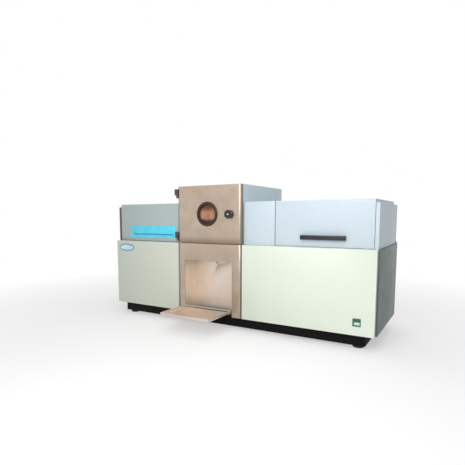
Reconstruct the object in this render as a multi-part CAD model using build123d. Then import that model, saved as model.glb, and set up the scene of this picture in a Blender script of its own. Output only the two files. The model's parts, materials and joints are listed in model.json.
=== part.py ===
from build123d import *
import math
import os

# Bench-top flame absorption spectrophotometer, in millimetres, +Z up, +X to the right of the front.
# While it is modelled, y = 0 is the front face of the lower front pans, and the finished pieces are
# moved along Y so that the origin lies under the middle of the whole machine, on its feet.

# Overall sizes
cabinet_width = 1020.0
cabinet_depth = 350.0
foot_height = 10.0
plinth_height = 35.0
lower_height = 258.0
wing_height = 146.0
tower_height = 206.0

# Sheet metal
sheet = 1.5
frame_sheet = 2.0
deck_sheet = 3.0
frame_flange = 15.0
pan_depth = 17.0
pan_seam = 2.0
bulkhead_flange = 14.0
duct_width = 140.0
duct_height = 100.0
side_proud = 5.0
frame_inset = 2.0
roll_radius = 10.0

# Plinth and feet
plinth_inset_side = 28.0
plinth_setback = 20.0
plinth_flange = 40.0
foot_radius = 19.0
foot_taper = 3.0
foot_inset = 25.0

# Tower and sample recess
tower_left = -203.0
tower_right = 73.0
door_left = -193.0
door_depth = 15.0
opening_left = -164.0
opening_right = 36.0
opening_drop = 63.0
recess_depth = 75.0
tower_flange = 12.0
exhaust_length = 160.0
grille_slot = 8.0
grille_pitch = 16.0
grille_margin = 5.0

# Round window and knob in the door
window_x = -65.0
window_rise = 105.0
window_radius = 35.5
bezel_radius = 43.5
bezel_proud = 2.0
glass_radius = 40.0
glass_thickness = 3.0
glass_setback = 2.5
gasket_inner_radius = 32.0
knob_x = 25.5
knob_rise = 104.0
knob_radius = 15.0
knob_height = 10.0

# Door hinges
hinge_x = -202.0
hinge_y = 10.0
hinge_pin_radius = 2.0
hinge_knuckle_radius = 5.0
hinge_knuckle_length = 10.0
hinge_block_length = 22.0
hinge_block_reach = 11.0
hinge_low_rise = 7.0
hinge_high_drop = 41.0
running_gap = 0.3
fit = 0.05
pivot_fit = 0.1

# Sample tray
tray_reach = 150.0
tray_rise = 18.0
tray_rim = 8.0
tray_side_gap = 1.5
tray_pivot_rise = 5.0
tray_pivot_setback = 0.5
inlet_offset = 3.0
inlet_drop = 14.0

# Upper covers
cover_width = 113.0
cheek_thickness = 11.5
cheek_drop = 11.0
cheek_wall = 3.0
hood_gap = 1.0
hood_lift = 1.5
hood_flange = 12.0
hood_edge_radius = 4.0
hood_hinge_setback = 6.0
hood_hinge_rise = 13.0
hood_knuckle_radius = 4.0
hood_bracket_width = 16.0
hood_knuckle_width = 12.0
hood_hinge_inset = 55.0
rear_lip = 6.0
handle_offset = 4.25
handle_length = 140.0
handle_height = 13.5
handle_depth = 14.0
handle_rise = 24.0
handle_wall = 3.5

# Optics
optic_offset = 5.0
optic_rise = 93.0
beam_bore = 20.0
beam_window_radius = 15.0
beam_window_thickness = 3.0
shield_gap = 3.0
shield_sheet = 1.2
shield_top_gap = 9.0
shield_room = 24.0

# Lamp turret
lamp_count = 4
lamp_radius = 18.5
lamp_window_radius = 14.5
lamp_length = 147.0
lamp_taper = 30.0
lamp_base = 10.0
lamp_spigot_radius = 12.0
turret_pitch_radius = 38.0
turret_disc_radius = 62.0
turret_drop = 24.0
turret_gap = 18.0
turret_spacing = 60.0
turret_disc_thickness = 5.0
turret_hub_radius = 10.0
turret_shaft_radius = 6.0
bracket_inset = 27.5
bracket_rise = 30.0
bracket_foot = 40.0
bracket_thickness = 3.0
bracket_width = 60.0
motor_size = 42.0
motor_length = 22.0

# Burner
burner_width = 110.0
burner_depth = 22.0
burner_top_depth = 12.0
burner_height = 22.0
burner_drop = 10.0
burner_slot_length = 100.0
burner_slot_width = 1.0
neck_radius = 10.9
neck_length = 14.0
neck_bore = 8.0
socket_radius = 15.0
chamber_radius = 26.0
chamber_wall = 4.0
chamber_reach = 70.0
chamber_length = 110.0
nebulizer_length = 48.0
nebulizer_flange = 8.0
nebulizer_plug = 8.0
nebulizer_body_radius = 7.0
nebulizer_nut_radius = 10.0
nebulizer_nut_length = 12.0
nebulizer_tip = 8.0
nebulizer_barb = 22.0
chamber_axis_drop = 62.0
cradle_wall = 6.0
cradle_length = 24.0
cradle_rise = 10.0
cradle_drop = 18.0
carriage_setback = 86.0
carriage_width = 92.0
carriage_depth = 40.0
carriage_rise = 8.0
carriage_drop = 14.0
rod_spacing = 68.0
rod_radius = 6.0
screw_radius = 5.0
wheel_radius = 17.0
lift_bar = 8.0
lift_bar_gap = 22.0
lift_bar_end = 8.0
lift_bar_wall = 6.0
wheel_thickness = 9.0

# Monochromator and detector
mono_inset = 15.0
mono_end_gap = 12.5
mono_setback = 45.0
mono_rear_gap = 25.0
mono_wall = 5.0
mono_height = 123.0
mono_cover_thickness = 4.0
slit_width = 4.0
slit_height = 20.0
exit_spacing = 80.0
grating_setback = 65.0
grating_offset = 45.0
grating_size = 52.0
grating_thickness = 9.0
turntable_radius = 32.0
turntable_thickness = 8.0
mirror_setback = 27.0
mirror_offset = 20.0
mirror_radius = 26.0
mirror_thickness = 10.0
detector_radius = 24.0
detector_length = 80.0

# Power switch
switch_inset = 50.5
switch_rise = 41.0
switch_size = 22.0
switch_wall = 2.0
switch_body_depth = 16.0
rocker_tilt = 7.0

# Rear services
fan_inset = 160.0
fan_rise = 125.0
fan_size = 120.0
fan_depth = 25.0
fan_bore = 56.0
fan_blades = 7
fan_pitch = 35.0
fan_hub_radius = 19.0
inlet_socket_inset = 110.0
inlet_socket_rise = 65.0
inlet_socket_width = 48.0
inlet_socket_height = 28.0
inlet_socket_depth = 26.0
gas_offset = 5.0
gas_spacing = 60.0
gas_rise = 65.0
gas_spigot_radius = 4.5
gas_spigot_length = 19.0
gas_nut_radius = 9.0
gas_nut_length = 5.0
gas_body_radius = 6.0

# Levels and lines worked out from the sizes above
half = cabinet_width / 2
frame_half = half - frame_inset
body_z = foot_height + plinth_height
floor_z = body_z + frame_sheet
seam_z = body_z + lower_height
wing_z = seam_z + wing_height
tower_z = seam_z + tower_height
frame_back = cabinet_depth - sheet
deck_z = seam_z - deck_sheet
rail_top = body_z + frame_flange
rail_bottom = seam_z - frame_flange
tower_middle = (tower_left + tower_right) / 2
fascia_left = door_left
fascia_right = tower_right
cover_right = tower_right + pan_seam + cover_width
opening_top = seam_z - opening_drop
window_z = seam_z + window_rise
knob_z = seam_z + knob_rise
hinge_levels = (seam_z + hinge_low_rise, tower_z - hinge_high_drop)
pan_bottom = body_z + pan_seam / 2
pan_top = seam_z - pan_seam / 2
tray_top = body_z + tray_rise
tray_floor = tray_top - sheet
inlet_x = window_x - inlet_offset
inlet_z = opening_top - inlet_drop
tray_pivot_y = tray_pivot_rise + tray_pivot_setback
tray_pivot_z = tray_floor + tray_pivot_rise
tray_left = opening_left + tray_side_gap
tray_right = opening_right - tray_side_gap
hood_left = half - cheek_thickness - hood_gap
hood_inner_left = tower_left - pan_seam
hood_bottom = seam_z + hood_lift
hood_axis_y = cabinet_depth - hood_hinge_setback
hood_axis_z = seam_z + hood_hinge_rise
spectrometer_left = cover_right + pan_seam
handle_x = (spectrometer_left + hood_left) / 2 + handle_offset
handle_z = seam_z + handle_rise
optic_y = cabinet_depth / 2 - optic_offset
optic_z = seam_z + optic_rise
exhaust_start = optic_y - exhaust_length / 2
burner_top = optic_z - burner_drop
burner_bottom = burner_top - burner_height
chamber_z = optic_z - chamber_axis_drop
chamber_front = optic_y - chamber_reach
chamber_back = chamber_front + chamber_length
carriage_y = optic_y + carriage_setback
shield_back = carriage_y + carriage_depth / 2 + shield_room
socket_top = burner_bottom - running_gap
bracket_x = bracket_inset - hood_left
turret_rear_x = bracket_x + turret_gap
turret_front_x = turret_rear_x + turret_spacing
turret_axis_z = optic_z - turret_drop
turret_y = optic_y + math.sqrt(turret_pitch_radius ** 2 - turret_drop ** 2)
lamp_angle = math.degrees(math.atan2(turret_drop, optic_y - turret_y))
mono_top = seam_z + mono_height
mono_left = spectrometer_left + mono_inset
mono_right = hood_left - mono_end_gap
mono_front = mono_setback
mono_back = cabinet_depth - mono_rear_gap
exit_y = optic_y + exit_spacing
grating_x = mono_left + grating_setback
grating_y = optic_y + grating_offset
mirror_x = mono_right - mirror_setback
mirror_y = optic_y + mirror_offset
switch_x = half - switch_inset
switch_z = body_z + switch_rise
fan_x = fan_inset - half
fan_z = body_z + fan_rise
inlet_socket_x = half - inlet_socket_inset
inlet_socket_z = body_z + inlet_socket_rise
gas_x = (tower_middle + gas_offset, tower_middle + gas_offset + gas_spacing)
gas_z = body_z + gas_rise
rear_reach = cabinet_depth + gas_nut_length + gas_spigot_length
shift_y = (tray_reach - rear_reach) / 2

parts = {}


def span(x0, x1, y0, y1, z0, z1):
    """A block between two corners."""
    return Pos((x0 + x1) / 2, (y0 + y1) / 2, (z0 + z1) / 2) * Box(x1 - x0, y1 - y0, z1 - z0)


def rod_x(radius, x0, x1, y, z):
    """A round bar along X."""
    return Pos((x0 + x1) / 2, y, z) * Rot(0, 90, 0) * Cylinder(radius, x1 - x0)


def rod_y(radius, y0, y1, x, z):
    """A round bar along Y."""
    return Pos(x, (y0 + y1) / 2, z) * Rot(90, 0, 0) * Cylinder(radius, y1 - y0)


def rod_z(radius, z0, z1, x, y):
    """A round bar along Z."""
    return Pos(x, y, (z0 + z1) / 2) * Cylinder(radius, z1 - z0)


def turned(points, place):
    """A solid of revolution about Z from radius and height pairs, then placed."""
    profile = Plane.XZ * make_face(Polyline(*points, close=True))
    return place * revolve(profile, Axis.Z)


def extruded_x(points, x0, x1):
    """A profile of y and z pairs, extruded along X."""
    face = make_face(Polyline(*[(x0, y, z) for y, z in points], close=True))
    return extrude(face, amount=x1 - x0, dir=(1, 0, 0))


def plinth():
    """Black skirt with a bottom flange that carries the feet."""
    side = half - plinth_inset_side
    back = cabinet_depth - plinth_setback
    inner = plinth_inset_side + frame_sheet
    shell = span(-side, side, plinth_setback, back, foot_height, body_z)
    shell -= span(inner - half, half - inner, plinth_setback + frame_sheet, back - frame_sheet,
                  foot_height + frame_sheet, body_z + 1)
    return shell - span(plinth_flange - side, side - plinth_flange, plinth_setback + plinth_flange,
                        back - plinth_flange, 0, body_z)


def rubber_feet():
    """Four tapered feet."""
    side = half - plinth_inset_side - foot_inset
    front = plinth_setback + foot_inset
    back = cabinet_depth - front
    foot = Pos(0, 0, foot_height / 2) * Cone(foot_radius - foot_taper, foot_radius, foot_height)
    return Compound([Pos(x, y, 0) * foot for x in (-side, side) for y in (front, back)])


def base_plate():
    """Folded floor pan, notched where the sample recess opens."""
    pan = span(-frame_half, frame_half, pan_depth, frame_back, body_z, rail_top)
    pan -= span(frame_sheet - frame_half, frame_half - frame_sheet, pan_depth + frame_sheet,
                frame_back - frame_sheet, floor_z, rail_top + 1)
    return pan - span(opening_left - sheet - frame_sheet, opening_right + sheet + frame_sheet,
                      pan_depth - 1, pan_depth + frame_sheet + 1, floor_z, rail_top + 1)


def deck():
    """Bench plate with its edges folded down, which carries the optics and the covers."""
    pan = span(-frame_half, frame_half, pan_depth, frame_back, rail_bottom, seam_z)
    return pan - span(frame_sheet - frame_half, frame_half - frame_sheet, pan_depth + frame_sheet,
                      frame_back - frame_sheet, rail_bottom - 1, deck_z)


def bulkhead(web_x, reach):
    """Upright partition with a front flange that both neighbouring pans land on."""
    web = span(web_x, web_x + frame_sheet, pan_depth + frame_sheet, frame_back - frame_sheet,
               floor_z, deck_z)
    duct_y = cabinet_depth / 2
    duct_z = (floor_z + deck_z) / 2
    web -= span(web_x - 1, web_x + frame_sheet + 1, duct_y - duct_width / 2, duct_y + duct_width / 2,
                duct_z - duct_height / 2, duct_z + duct_height / 2)
    flange = span(web_x - reach, web_x + frame_sheet + reach, pan_depth, pan_depth + frame_sheet,
                  rail_top, rail_bottom)
    return web + flange


def fan_slots():
    """Cutters for the air slots behind the fan."""
    slots = Part()
    rows = 9
    for row in range(rows):
        z = fan_z + (row - (rows - 1) / 2) * 11.0
        chord = math.sqrt(max(fan_bore ** 2 - (z - fan_z) ** 2, 1.0)) - 4.0
        slots += span(fan_x - chord, fan_x + chord, frame_back - 1, cabinet_depth + 1, z - 3, z + 3)
    return slots


def rear_panel():
    """Rear skin of the lower cabinet, with a low lip behind the covers."""
    side = half + side_proud - frame_inset
    panel = span(-side, side, frame_back, cabinet_depth, pan_bottom, seam_z + rear_lip)
    panel -= fan_slots()
    socket_w = inlet_socket_width / 2 + fit
    socket_h = inlet_socket_height / 2 + fit
    panel -= span(inlet_socket_x - socket_w, inlet_socket_x + socket_w, frame_back - 1,
                  cabinet_depth + 1, inlet_socket_z - socket_h, inlet_socket_z + socket_h)
    for x in gas_x:
        panel -= rod_y(gas_body_radius + fit, frame_back - 1, cabinet_depth + 1, x, gas_z)
    return panel


def side_panel(side):
    """Dark side skin with folded rims, standing proud of the front pans."""
    outer = half + side_proud
    rim = span(frame_half, outer, pan_depth, frame_back, pan_bottom, pan_top)
    rim -= span(frame_half - 1, outer - sheet, pan_depth + sheet, frame_back - sheet,
                pan_bottom + sheet, pan_top - sheet)
    return rim if side > 0 else mirror(rim, about=Plane.YZ)


def front_pan(x0, x1):
    """Folded front pan of the lower cabinet."""
    pan = span(x0, x1, 0, pan_depth, pan_bottom, pan_top)
    return pan - span(x0 + sheet, x1 - sheet, sheet, pan_depth + 1, pan_bottom + sheet, pan_top - sheet)


def rolled_pan(x0, x1, z0, z1, depth, open_bottom):
    """Stainless pan whose upright front edges are rolled."""
    outer = span(x0, x1, 0, depth, z0, z1)
    outer = fillet(outer.edges().filter_by(Axis.Z).sort_by(Axis.Y)[:2], roll_radius)
    low = z0 - 1 if open_bottom else z0 + sheet
    inner = span(x0 + sheet, x1 - sheet, sheet, depth + roll_radius, low, z1 - sheet)
    inner = fillet(inner.edges().filter_by(Axis.Z).sort_by(Axis.Y)[:2], roll_radius - sheet)
    return outer - inner


def burner_fascia():
    """Stainless front below the door, with the opening of the sample recess."""
    pan = rolled_pan(fascia_left, fascia_right, pan_bottom, pan_top, pan_depth, True)
    return pan - span(opening_left, opening_right, -1, sheet + 1, body_z - 1, opening_top)


def recess_liner():
    """Box behind the fascia opening, open to the front and below."""
    box = span(opening_left - sheet, opening_right + sheet, sheet, recess_depth + sheet,
               floor_z, opening_top + sheet)
    box -= span(opening_left, opening_right, 0, recess_depth, floor_z - 1, opening_top)
    box -= rod_x(hinge_pin_radius + fit, opening_left - 5, opening_right + 5, tray_pivot_y, tray_pivot_z)
    return box - rod_y(6 + fit, recess_depth - 1, recess_depth + 5, inlet_x, inlet_z)


def sample_inlet():
    """Turned nipple in the back wall of the recess."""
    profile = [(0, 0), (3, 0), (3, 12), (8, 12), (8, 14), (6, 14), (6, 20), (0, 20)]
    return turned(profile, Pos(inlet_x, recess_depth - 14, inlet_z) * Rot(-90, 0, 0))


def sample_tray():
    """Shallow folded tray that swings up to close the recess."""
    back = tray_pivot_y - tray_pivot_rise
    tray = span(tray_left, tray_right, -tray_reach, back, tray_floor, tray_top + tray_rim)
    tray -= span(tray_left + sheet, tray_right - sheet, sheet - tray_reach, back + 1,
                 tray_top, tray_top + tray_rim + 1)
    for x0 in (tray_left, tray_right - sheet):
        tray += rod_x(tray_pivot_rise, x0, x0 + sheet, tray_pivot_y, tray_pivot_z)
        tray += span(x0, x0 + sheet, back - 1, tray_pivot_y, tray_floor, tray_pivot_z + tray_pivot_rise)
    return tray - rod_x(hinge_pin_radius + pivot_fit, tray_left - 1, tray_right + 1,
                        tray_pivot_y, tray_pivot_z)


def tray_hinge_pin():
    """Rod through the liner and both ears of the tray."""
    return rod_x(hinge_pin_radius, opening_left - 2 * sheet, opening_right + 2 * sheet,
                 tray_pivot_y, tray_pivot_z)


def beam_cut(x0, x1, radius):
    """Cutter for the light path through one wall."""
    return rod_x(radius, x0, x1, optic_y, optic_z)


def tower_housing():
    """Folded housing round the burner, open to the front and above."""
    box = span(tower_left, tower_right, pan_depth, frame_back, seam_z, tower_z)
    box -= span(tower_left + sheet, tower_right - sheet, pan_depth + sheet, frame_back - sheet,
                seam_z - 1, tower_z - sheet)
    box -= span(tower_left + tower_flange, tower_right - tower_flange, pan_depth - 1,
                pan_depth + sheet + 1, seam_z - 1, tower_z - tower_flange)
    box -= span(tower_middle - exhaust_length / 2, tower_middle + exhaust_length / 2, exhaust_start,
                exhaust_start + exhaust_length, tower_z - sheet - 1, tower_z + 1)
    return box - beam_cut(tower_left - 1, tower_right + 1, beam_bore)


def exhaust_grille():
    """Slotted plate under the exhaust opening."""
    reach = exhaust_length / 2 + grille_margin
    plate = span(tower_middle - reach, tower_middle + reach, exhaust_start - grille_margin,
                 exhaust_start + exhaust_length + grille_margin, tower_z - 2 * sheet, tower_z - sheet)
    slots = int((exhaust_length - grille_slot) / grille_pitch) + 1
    first = exhaust_start + (exhaust_length - (slots - 1) * grille_pitch) / 2
    for slot in range(slots):
        y = first + slot * grille_pitch
        plate -= span(tower_middle - reach + 2 * grille_margin, tower_middle + reach - 2 * grille_margin,
                      y - grille_slot / 2, y + grille_slot / 2, tower_z - 3 * sheet, tower_z)
    return plate


def heat_shield():
    """Stainless inner walls beside and behind the flame."""
    x0 = tower_left + sheet + shield_gap
    x1 = tower_right - sheet - shield_gap
    z1 = tower_z - shield_top_gap
    wall = span(x0, x1, pan_depth + 2 * sheet, shield_back, seam_z, z1)
    wall -= span(x0 + shield_sheet, x1 - shield_sheet, pan_depth, shield_back - shield_sheet,
                 seam_z - 1, z1 + 1)
    return wall - beam_cut(x0 - 1, x1 + 1, beam_bore)


def beam_mount(side):
    """Flanged barrel that holds one beam window."""
    depth = sheet + shield_gap + shield_sheet
    lip = beam_window_radius - 1.5
    seat = beam_window_radius + fit
    outer = beam_bore - fit
    flange = beam_bore + 6
    profile = [(seat, 0), (outer, 0), (outer, depth), (flange, depth), (flange, depth + 3),
               (lip, depth + 3), (lip, beam_window_thickness), (seat, beam_window_thickness)]
    if side < 0:
        return turned(profile, Pos(tower_left, optic_y, optic_z) * Rot(0, 90, 0))
    return turned(profile, Pos(tower_right, optic_y, optic_z) * Rot(0, -90, 0))


def beam_windows():
    """Two silica discs in the barrels."""
    left = rod_x(beam_window_radius, tower_left, tower_left + beam_window_thickness, optic_y, optic_z)
    right = rod_x(beam_window_radius, tower_right - beam_window_thickness, tower_right,
                  optic_y, optic_z)
    return Compound([left, right])


def door_skin():
    """Stainless door pan with rolled upright edges and the window hole."""
    pan = rolled_pan(door_left, tower_right, seam_z + pan_seam / 2, tower_z, door_depth, False)
    return pan - rod_y(window_radius, -1, sheet + 1, window_x, window_z)


def door_liner():
    """Flat inner plate that closes the door pan from behind."""
    play = sheet + 2 * pivot_fit
    plate = span(door_left + play, tower_right - play, door_depth - sheet, door_depth,
                 seam_z + pan_seam / 2 + play, tower_z - play)
    return plate - rod_y(glass_radius, door_depth - sheet - 1, door_depth + 1, window_x, window_z)


def window_bezel():
    """Turned steel ring round the window."""
    inner = window_radius - 1
    barrel = window_radius - fit
    profile = [(inner, 0), (bezel_radius - 1, 0), (bezel_radius, 1), (bezel_radius, bezel_proud),
               (barrel, bezel_proud), (barrel, bezel_proud + sheet), (inner, bezel_proud + sheet)]
    return turned(profile, Pos(window_x, -bezel_proud, window_z) * Rot(-90, 0, 0))


def window_gasket():
    """Channel-shaped ring between the skins, which grips the glass."""
    depth = door_depth - 2 * sheet
    outer = glass_radius + 3
    groove = glass_radius + fit
    low = glass_setback
    high = low + glass_thickness + fit
    profile = [(gasket_inner_radius, 0), (outer, 0), (outer, depth), (gasket_inner_radius, depth),
               (gasket_inner_radius, high), (groove, high), (groove, low - fit),
               (gasket_inner_radius, low - fit)]
    return turned(profile, Pos(window_x, sheet, window_z) * Rot(-90, 0, 0))


def window_glass():
    """Round tinted glass."""
    front = sheet + glass_setback
    return rod_y(glass_radius, front, front + glass_thickness, window_x, window_z)


def door_knob():
    """Turned pull knob on a narrower neck."""
    profile = [(0, 0), (9, 0), (9, 4), (knob_radius, 6), (knob_radius, knob_height - 1),
               (knob_radius - 1, knob_height), (0, knob_height)]
    return turned(profile, Pos(knob_x, 0, knob_z) * Rot(90, 0, 0))


def door_hinge_brackets():
    """Two hinge blocks on the tower flange."""
    blocks = []
    for level in hinge_levels:
        z0 = level + hinge_knuckle_length + running_gap
        z1 = z0 + hinge_block_length
        block = span(hinge_x - hinge_block_reach, hinge_x + 5, hinge_y - 5.5, door_depth, z0, z1)
        block = fillet(block.edges().filter_by(Axis.Z).sort_by(Axis.Y)[:2], 3)
        block += span(tower_left, hinge_x + 5, door_depth - 1, pan_depth, z0, z1)
        block -= rod_z(hinge_pin_radius + fit, z0 - 1, z1 + 1, hinge_x, hinge_y)
        blocks.append(block)
    return Compound(blocks)


def door_hinge_knuckles():
    """Two knuckles on the door's edge."""
    knuckles = []
    for level in hinge_levels:
        z1 = level + hinge_knuckle_length
        knuckle = rod_z(hinge_knuckle_radius, level, z1, hinge_x, hinge_y)
        knuckle += span(hinge_x, door_left, hinge_y, hinge_y + 4, level, z1)
        knuckles.append(knuckle - rod_z(hinge_pin_radius + pivot_fit, level - 1, z1 + 1,
                                        hinge_x, hinge_y))
    return Compound(knuckles)


def door_hinge_pins():
    """Two headed pins."""
    pins = []
    for level in hinge_levels:
        top = level + hinge_knuckle_length + running_gap + hinge_block_length
        pin = rod_z(hinge_pin_radius, level - running_gap, top, hinge_x, hinge_y)
        pins.append(pin + rod_z(hinge_pin_radius + 1.5, level - 2 - running_gap, level - running_gap,
                                hinge_x, hinge_y))
    return Compound(pins)


def hinge_centres():
    """Places of the four hood hinges along X."""
    return (-hood_left + hood_hinge_inset, hood_inner_left - hood_hinge_inset,
            spectrometer_left + hood_hinge_inset, hood_left - hood_hinge_inset)


def hood(x0, x1, closed_x0, centres):
    """Hinged cover with one closed end, one flanged end and rolled knuckles at its rear edge."""
    shell = span(x0, x1, pan_depth, cabinet_depth, hood_bottom, wing_z)
    shell = fillet(shell.edges().filter_by(Axis.X).sort_by(Axis.Z)[-2:], hood_edge_radius)
    shell -= span(x0 + sheet, x1 - sheet, pan_depth + sheet, cabinet_depth - sheet,
                  hood_bottom - 1, wing_z - sheet)
    open_x = x1 - sheet if closed_x0 else x0
    shell -= span(open_x - 1, open_x + sheet + 1, pan_depth + hood_flange,
                  cabinet_depth - hood_flange, hood_bottom - 1, wing_z - hood_flange)
    shell -= span(x0 - 1, x1 + 1, hood_axis_y, cabinet_depth + 1, hood_bottom - 1, hood_axis_z + 2)
    for centre in centres:
        a = centre + hood_bracket_width / 2 + running_gap
        b = a + hood_knuckle_width
        shell += rod_x(hood_knuckle_radius, a, b, hood_axis_y, hood_axis_z)
        shell += span(a, b, hood_axis_y, cabinet_depth, hood_axis_z, hood_axis_z + hood_hinge_setback)
        shell -= rod_x(hinge_pin_radius + pivot_fit, a - 1, b + 1, hood_axis_y, hood_axis_z)
    return shell


def hood_hinge_brackets():
    """Four upright brackets on the rear edge of the deck."""
    brackets = []
    for centre in hinge_centres():
        x0 = centre - hood_bracket_width / 2
        x1 = centre + hood_bracket_width / 2
        bracket = rod_x(hood_knuckle_radius, x0, x1, hood_axis_y, hood_axis_z)
        bracket += span(x0, x1, hood_axis_y - hood_knuckle_radius, hood_axis_y + 1, seam_z, hood_axis_z)
        brackets.append(bracket - rod_x(hinge_pin_radius + fit, x0 - 1, x1 + 1,
                                        hood_axis_y, hood_axis_z))
    return Compound(brackets)


def hood_hinge_pins():
    """Four plain pins."""
    low = hood_bracket_width / 2
    high = low + running_gap + hood_knuckle_width
    return Compound([rod_x(hinge_pin_radius, centre - low, centre + high, hood_axis_y, hood_axis_z)
                     for centre in hinge_centres()])


def end_cheek(side):
    """Moulded end piece, hollow towards the hood."""
    inner = half - cheek_thickness
    top = wing_z - cheek_drop
    cheek = span(inner, half, pan_depth, frame_back, seam_z, top)
    cheek -= span(inner - 1, half - cheek_wall, pan_depth + cheek_wall, frame_back - cheek_wall,
                  seam_z + cheek_wall, top - cheek_wall)
    return cheek if side > 0 else mirror(cheek, about=Plane.YZ)


def fixed_cover():
    """Screwed cover between the tower and the right hood."""
    cover = span(tower_right + pan_seam, cover_right, pan_depth, frame_back, seam_z, wing_z)
    cover = fillet(cover.edges().filter_by(Axis.X).sort_by(Axis.Z)[-2:], hood_edge_radius)
    return cover - span(tower_right, cover_right + 1, pan_depth + sheet, frame_back - sheet,
                        seam_z - 1, wing_z - sheet)


def hood_handle():
    """Bar with a finger groove from below."""
    y0 = pan_depth - handle_depth
    z1 = handle_z + handle_height
    bar = span(handle_x - handle_length / 2, handle_x + handle_length / 2, y0, pan_depth, handle_z, z1)
    bar = fillet(bar.edges().filter_by(Axis.X).sort_by(Axis.Y)[:2], 2)
    return bar - span(handle_x - handle_length / 2 + handle_wall, handle_x + handle_length / 2 - handle_wall,
                      y0 + handle_wall, pan_depth + 1, handle_z - 1, z1 - handle_wall)


def turret_bracket():
    """Folded upright that carries the turret's shaft and motor."""
    y0 = turret_y - bracket_width / 2
    y1 = turret_y + bracket_width / 2
    plate = span(bracket_x, bracket_x + bracket_thickness, y0, y1, seam_z, turret_axis_z + bracket_rise)
    plate += span(bracket_x, bracket_x + bracket_foot, y0, y1, seam_z, seam_z + bracket_thickness)
    return plate - rod_x(turret_shaft_radius + pivot_fit, bracket_x - 1, bracket_x + 5,
                         turret_y, turret_axis_z)


def turret_motor():
    """Square stepping motor behind the bracket."""
    reach = motor_size / 2
    body = span(bracket_x - motor_length, bracket_x, turret_y - reach, turret_y + reach,
                turret_axis_z - reach, turret_axis_z + reach)
    body = chamfer(body.edges().filter_by(Axis.X), 4)
    return body - rod_x(turret_shaft_radius + pivot_fit, bracket_x - 9, bracket_x + 1,
                        turret_y, turret_axis_z)


def lamp_places():
    """Angle in degrees, y and z of each lamp axis; the first is in the light path."""
    places = []
    for index in range(lamp_count):
        angle = lamp_angle + index * 360 / lamp_count
        places.append((turret_y + turret_pitch_radius * math.cos(math.radians(angle)),
                       turret_axis_z + turret_pitch_radius * math.sin(math.radians(angle))))
    return places


def lamp_turret():
    """Plain rear disc and drilled front disc on a hub and shaft."""
    rear = turret_rear_x
    front = turret_front_x
    thick = turret_disc_thickness
    body = rod_x(turret_disc_radius, rear, rear + thick, turret_y, turret_axis_z)
    body += rod_x(turret_disc_radius, front, front + thick, turret_y, turret_axis_z)
    body += rod_x(turret_hub_radius, rear, front + thick, turret_y, turret_axis_z)
    body += rod_x(turret_shaft_radius, bracket_x - 8, rear, turret_y, turret_axis_z)
    for y, z in lamp_places():
        body -= rod_x(lamp_radius + pivot_fit, front - 1, front + thick + 1, y, z)
    return body


def hollow_cathode_lamps():
    """Sealed lamps, each on a narrow base and drawn in towards its window."""
    profile = [(0, 0), (lamp_spigot_radius, 0), (lamp_spigot_radius, lamp_base), (lamp_radius, lamp_base),
               (lamp_radius, lamp_length - lamp_taper), (lamp_window_radius, lamp_length), (0, lamp_length)]
    start = turret_rear_x + turret_disc_thickness
    return Compound([turned(profile, Pos(start, y, z) * Rot(0, 90, 0)) for y, z in lamp_places()])


def burner_head():
    """Slotted head with cooling grooves, a plenum and a neck that turns in the socket."""
    centre = window_x
    half_low = burner_depth / 2
    half_top = burner_top_depth / 2
    rise = burner_height
    section = [(optic_y - half_low, burner_bottom), (optic_y + half_low, burner_bottom),
               (optic_y + half_low, burner_bottom + rise * 0.4),
               (optic_y + half_top, burner_bottom + rise * 0.7), (optic_y + half_top, burner_top),
               (optic_y - half_top, burner_top), (optic_y - half_top, burner_bottom + rise * 0.7),
               (optic_y - half_low, burner_bottom + rise * 0.4)]
    x0 = centre - burner_width / 2
    head = extruded_x(section, x0, x0 + burner_width)
    for side in (-1, 1):
        for level in (2.5, 6.0):
            y = optic_y + side * half_low
            head -= span(x0 - 1, x0 + burner_width + 1, y - 2, y + 2,
                         burner_bottom + level, burner_bottom + level + 1.5)
    head += rod_z(neck_radius, burner_bottom - neck_length, burner_bottom, centre, optic_y)
    head -= rod_x(5, centre - burner_slot_length / 2, centre + burner_slot_length / 2,
                  optic_y, burner_bottom + 8)
    head -= rod_z(neck_bore - 1, burner_bottom - neck_length - 1, burner_bottom + 8, centre, optic_y)
    return head - span(centre - burner_slot_length / 2, centre + burner_slot_length / 2,
                       optic_y - burner_slot_width / 2, optic_y + burner_slot_width / 2,
                       burner_bottom + 8, burner_top + 1)


def spray_chamber():
    """Mixing chamber with the burner socket above and a drain stub behind."""
    body = rod_y(chamber_radius, chamber_front, chamber_back, window_x, chamber_z)
    body += rod_z(socket_radius, chamber_z, socket_top, window_x, optic_y)
    body += rod_y(4, chamber_back - 1, chamber_back + 15, window_x, chamber_z - 18)
    body -= rod_y(chamber_radius - chamber_wall, chamber_front - 1, chamber_back - chamber_wall,
                  window_x, chamber_z)
    body -= rod_z(neck_radius + pivot_fit, chamber_z, socket_top + 1, window_x, optic_y)
    return body - rod_y(2.5, chamber_back - 2 * chamber_wall, chamber_back + 16,
                        window_x, chamber_z - 18)


def nebulizer():
    """End cap with the nebulizer body, its nut, the capillary tip and a gas barb."""
    plug = chamber_radius - chamber_wall - fit
    nut = nebulizer_nut_radius
    stem = nebulizer_body_radius
    front = 2 * nebulizer_tip
    back = front + nebulizer_nut_length
    flange = nebulizer_length - nebulizer_flange
    end = nebulizer_length + nebulizer_plug
    profile = [(0, 0), (2, 0), (2, nebulizer_tip), (stem, front), (nut, front), (nut, back), (stem, back),
               (stem, flange), (chamber_radius, flange), (chamber_radius, nebulizer_length),
               (plug, nebulizer_length), (plug, end), (0, end)]
    body = turned(profile, Pos(window_x, chamber_front - nebulizer_length, chamber_z) * Rot(-90, 0, 0))
    barb_y = chamber_front - nebulizer_flange - 6
    return body + rod_x(3, window_x - nebulizer_barb, window_x, barb_y, chamber_z)


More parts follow.
